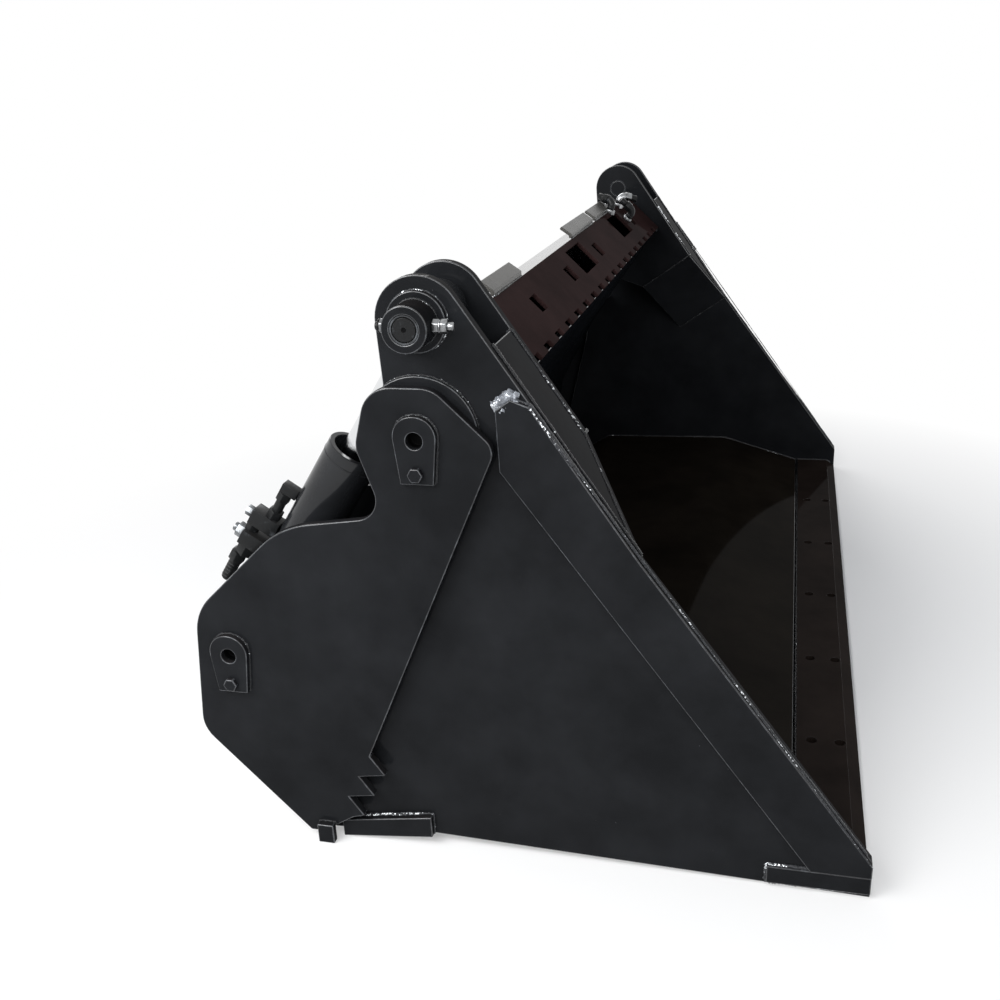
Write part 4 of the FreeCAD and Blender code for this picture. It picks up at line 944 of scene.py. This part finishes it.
class BUCKET_OT_cylinders(bpy.types.Operator):
    """Add the gland rings and the oil lines of the cylinders"""

    bl_idname = "bucket.cylinders"
    bl_label = "Dress the Cylinders"

    def execute(self, context):
        for side in SIDES:
            frame = cylinder_frame(side)
            self.gland(side, frame)
            self.oil_line(side, frame)
        return {"FINISHED"}

    def gland(self, side, frame):
        """The barrel's rim, the gland's face inside it and the ring round its groove."""
        rings = [(lathe(profile, 64), frame, finish) for profile, finish in GLAND_RINGS]
        # The gland's face inside the barrel mouth is near-black: painted shade.
        ring = assembled("gland_ring_" + side, rings, "barrel_" + side,
                         ["barrel_paint", "dark_hollow"])
        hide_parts("gland_" + side)

    def oil_line(self, side, frame):
        """The chain of blocks, nuts and pipe behind the barrel."""
        def at(off, along):
            return frame @ Matrix.Translation((off, 0, along))

        tip = Matrix.Rotation(math.pi / 2, 4, "Y")
        aside = Matrix.Rotation(math.pi / 2, 4, "X")
        pieces = [
            (block((0.046, 0.026, 0.026), (0.0640, 0, UPPER_BLOCK)), frame, 0),
            (block((0.040, 0.034, 0.024), (0.0660, 0, LOWER_BLOCK)), frame, 0),
            (nut(0.0165, 0.104, 0.122), at(0.070, 0), 0),
            (nut(0.0120, 0.0, 0.012), at(0.0850, LOWER_BLOCK) @ tip, 1),
            (rod(0.0070, 0.012, 0.018, 0.001), at(0.0850, LOWER_BLOCK) @ tip, 1),
            (block((0.0270, 0.018, 0.0150), (0.0535, 0, 0.2385)), frame, 0),
            (rod(0.0078, 0.180, 0.232), at(TUBE_OFF, 0), 0),
            (nut(0.0118, 0.183, 0.197), at(TUBE_OFF, 0), 0),
            (nut(0.0110, 0.216, 0.230), at(TUBE_OFF, 0), 0),
            (rod(0.0066, 0.100, 0.160), at(PIPE_OFF, 0), 1),
            (nut(0.0128, 0.084, 0.101), at(PIPE_OFF, 0), 0),
            (nut(0.0112, 0.142, 0.158), at(PIPE_OFF, 0), 0),
            (lathe(FERRULE, 32), at(PIPE_OFF, 0), 0),
            (nut(0.0085, 0.0, 0.010), at(0.0875, UPPER_BLOCK) @ tip, 1),
            (nut(0.0070, 0.0, 0.008), frame @ Matrix.Translation((0.062, -0.012, UPPER_BLOCK)) @ aside, 1),
        ]
        for number in range(5):
            pieces.append((lathe(FERRULE_RIB, 32), at(PIPE_OFF, 0.050 + 0.006 * number), 0))
        line = assembled("oil_line_" + side, pieces, "barrel_" + side,
                         ["fitting_paint", "pin_steel"])
        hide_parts("transfer_tube_" + side)


class BUCKET_OT_fasteners(bpy.types.Operator):
    """Add the pin faces, the cross bolts' ends and the couplings on the cover"""

    bl_idname = "bucket.fasteners"
    bl_label = "Add Fasteners"

    def execute(self, context):
        pins_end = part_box("rod_pins")[1].y
        for side in SIDES:
            sign = -1 if side == "right" else 1
            centre = joint_place("rod_hinge_" + side)
            face = facing(Vector((centre.x, pins_end * sign, centre.z)), (0, sign, 0))
            # Dimple and groove are near-black, painted shade; the rim chamfer takes the worn edge material with
            # its painted highlight.
            rings = [(lathe(profile, steps), face, finish) for profile, steps, finish in PIN_RINGS]
            assembled("pin_face_" + side, rings, "clam",
                      ["fitting_paint", "dark_hollow", "worn_paint_edge"])
            bolts = []
            place = Vector((centre.x, sign * NUT_LINE, centre.z))
            for way in (-1, 1):
                out = facing(place + Vector((NUT_SEAT * way, 0, 0)), (way, 0, 0))
                bolts.append((rod(0.0092, 0.0, 0.0018, 0.0004), out, 0 if way > 0 else 1))
                if way > 0:
                    bolts.append((nut(0.0098, 0.0020, 0.0100), out, 0))
                    bolts.append((rod(0.0056, 0.0100, 0.0180, 0.0012, 24), out, 0))
                else:
                    bolts.append((rod(0.0056, 0.0018, 0.0060, 0.0012, 24), out, 1))
            assembled("cross_bolt_" + side, bolts, "clam", ["plated_bolt", "fitting_paint"])
        self.couplings()
        return {"FINISHED"}

    def couplings(self):
        """Nuts, ferrules and elbows of the line that crosses behind the cover."""
        low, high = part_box("hose_fittings")
        centre = (low + high) / 2
        row = facing(Vector((centre.x, low.y, centre.z)), (0, 1, 0))
        pieces = []
        for start, end, radius, kind in FITTING_ROW:
            shape = nut(radius, start, end) if kind == "nut" else rod(radius, start, end, 0.001)
            pieces.append((shape, row.copy(), 0 if kind == "nut" else 1))
        line = assembled("cover_couplings", pieces, "rear_body", ["plated_bolt", "fitting_paint"])
        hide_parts("hose_fittings")
        ports = []
        for x, y, z, way, spin, bright in COVER_PORTS:
            seat = facing(Vector((x, y, z)), way) @ Matrix.Rotation(math.radians(spin), 4, "Z")
            ports += port_elbow(seat, bright)
        assembled("cover_ports", ports, "rear_body", ["plated_bolt", "fitting_paint"])


# Stage

def area_lamp(name, place, target, size, power):
    data = bpy.data.lights.new(name, "AREA")
    data.shape = "RECTANGLE"
    data.size, data.size_y = size
    data.energy = power
    lamp = bpy.data.objects.new(name, data)
    bpy.context.scene.collection.objects.link(lamp)
    lamp.location = place
    lamp.rotation_mode = "QUATERNION"
    lamp.rotation_quaternion = (Vector(target) - Vector(place)).to_track_quat("-Z", "Y")


def seen_rays(tree):
    """One for the rays that show the background: to the camera, mirrored or through glass."""
    rays = add(tree, "ShaderNodeLightPath", (-400, 300))
    either = maths(tree, "MAXIMUM", (-200, 300), rays.outputs["Is Camera Ray"], rays.outputs["Is Glossy Ray"])
    return maths(tree, "MAXIMUM", (0, 300), either, rays.outputs["Is Transmission Ray"])


def studio_world():
    world = bpy.data.worlds.new("Studio")
    bpy.context.scene.world = world
    world.use_nodes = True
    tree = world.node_tree
    tree.nodes.clear()
    out = add(tree, "ShaderNodeOutputWorld", (600, 0))
    fill = add(tree, "ShaderNodeBackground", (0, 100), Color=(0.92, 0.95, 1.0, 1.0), Strength=0.35)
    seen = add(tree, "ShaderNodeBackground", (0, -100), Color=(1.0, 1.0, 1.0, 1.0), Strength=1.0)
    either = seen_rays(tree)
    choice = add(tree, "ShaderNodeMixShader", (300, 0))
    link(tree, either, choice.inputs[0])
    link(tree, fill.outputs[0], choice.inputs[1])
    link(tree, seen.outputs[0], choice.inputs[2])
    link(tree, choice.outputs[0], out.inputs["Surface"])


def studio_floor(colour):
    work = bmesh.new()
    bmesh.ops.create_circle(work, cap_ends=True, segments=96, radius=14.0)
    shape = bpy.data.meshes.new("studio_floor")
    work.to_mesh(shape)
    work.free()
    floor = bpy.data.objects.new("studio_floor", shape)
    bpy.context.scene.collection.objects.link(floor)
    made, tree, shader, place = new_material("pale_floor", Roughness=0.85, Specular_IOR_Level=0.2)
    mottle = noise(tree, (-800, 0), place, 3.0, 4.0, 0.5)
    light = tuple(colour) + (1.0,)
    dark = tuple(c * 0.985 for c in colour) + (1.0,)
    link(tree, mix_colour(tree, (-400, 0), mottle, dark, light), shader.inputs["Base Color"])
    far = add(tree, "ShaderNodeVectorMath", (-900, 300), operation="LENGTH")
    link(tree, place, far.inputs[0])
    fade = ramp(tree, (-600, 300), far.outputs["Value"], 0.6, 1.6)
    glow = add(tree, "ShaderNodeEmission", (-100, 200), Strength=1.0)
    choice = add(tree, "ShaderNodeMixShader", (300, 100))
    link(tree, maths(tree, "MULTIPLY", (100, 300), fade, seen_rays(tree)), choice.inputs[0])
    link(tree, shader.outputs[0], choice.inputs[1])
    link(tree, glow.outputs[0], choice.inputs[2])
    link(tree, choice.outputs[0], tree.nodes["Material Output"].inputs["Surface"])
    shape.materials.append(made)
    floor.location.z = CAD_BOX[0].z - 0.0005


class BUCKET_OT_stage(bpy.types.Operator):
    """Set the floor, the lamps and the camera"""

    bl_idname = "bucket.stage"
    bl_label = "Set the Stage"

    def execute(self, context):
        stage = context.scene.bucket_stage
        context.scene.view_settings.view_transform = "Standard"
        studio_world()
        studio_floor(stage.floor_colour)
        for name, place, target, size, share in LAMPS:
            area_lamp(name, place, target, size, stage.lamp_power * share)
        data = bpy.data.cameras.new("camera")
        data.lens = stage.lens
        data.sensor_width = 36.0
        camera = bpy.data.objects.new("camera", data)
        context.scene.collection.objects.link(camera)
        right = Vector(CAMERA_RIGHT)
        up = Vector(CAMERA_UP)
        back = right.cross(up)
        turn = Matrix((right, up, back)).transposed().to_4x4()
        camera.matrix_world = Matrix.Translation(CAMERA_PLACE) @ turn
        context.scene.camera = camera
        return {"FINISHED"}


class BUCKET_PT_panel(bpy.types.Panel):
    """Lists the dressing steps and their settings"""

    bl_idname = "BUCKET_PT_panel"
    bl_label = "Four-in-one Bucket"
    bl_space_type = "VIEW_3D"
    bl_region_type = "UI"
    bl_category = "Bucket"

    def draw(self, context):
        layout = self.layout
        for step in STEPS:
            layout.operator(step.bl_idname)
        for holder in settings():
            box = layout.box()
            for name in holder.bl_rna.properties.keys():
                if name not in ("rna_type", "name"):
                    box.prop(holder, name)


STEPS = (
    BUCKET_OT_stage, BUCKET_OT_materials, BUCKET_OT_frame, BUCKET_OT_welds, BUCKET_OT_cylinders,
    BUCKET_OT_fasteners,
)
CLASSES = (BucketPaint, BucketWelds, BucketStage) + STEPS + (BUCKET_PT_panel,)


def register():
    for made in CLASSES:
        bpy.utils.register_class(made)
    bpy.types.Scene.bucket_paint = PointerProperty(type=BucketPaint)
    bpy.types.Scene.bucket_welds = PointerProperty(type=BucketWelds)
    bpy.types.Scene.bucket_stage = PointerProperty(type=BucketStage)


def unregister():
    del bpy.types.Scene.bucket_stage
    del bpy.types.Scene.bucket_welds
    del bpy.types.Scene.bucket_paint
    for made in reversed(CLASSES):
        bpy.utils.unregister_class(made)


def main():
    register()
    for step in STEPS:
        group_name, _, name = step.bl_idname.partition(".")
        getattr(getattr(bpy.ops, group_name), name)()


if __name__ == "__main__":
    main()
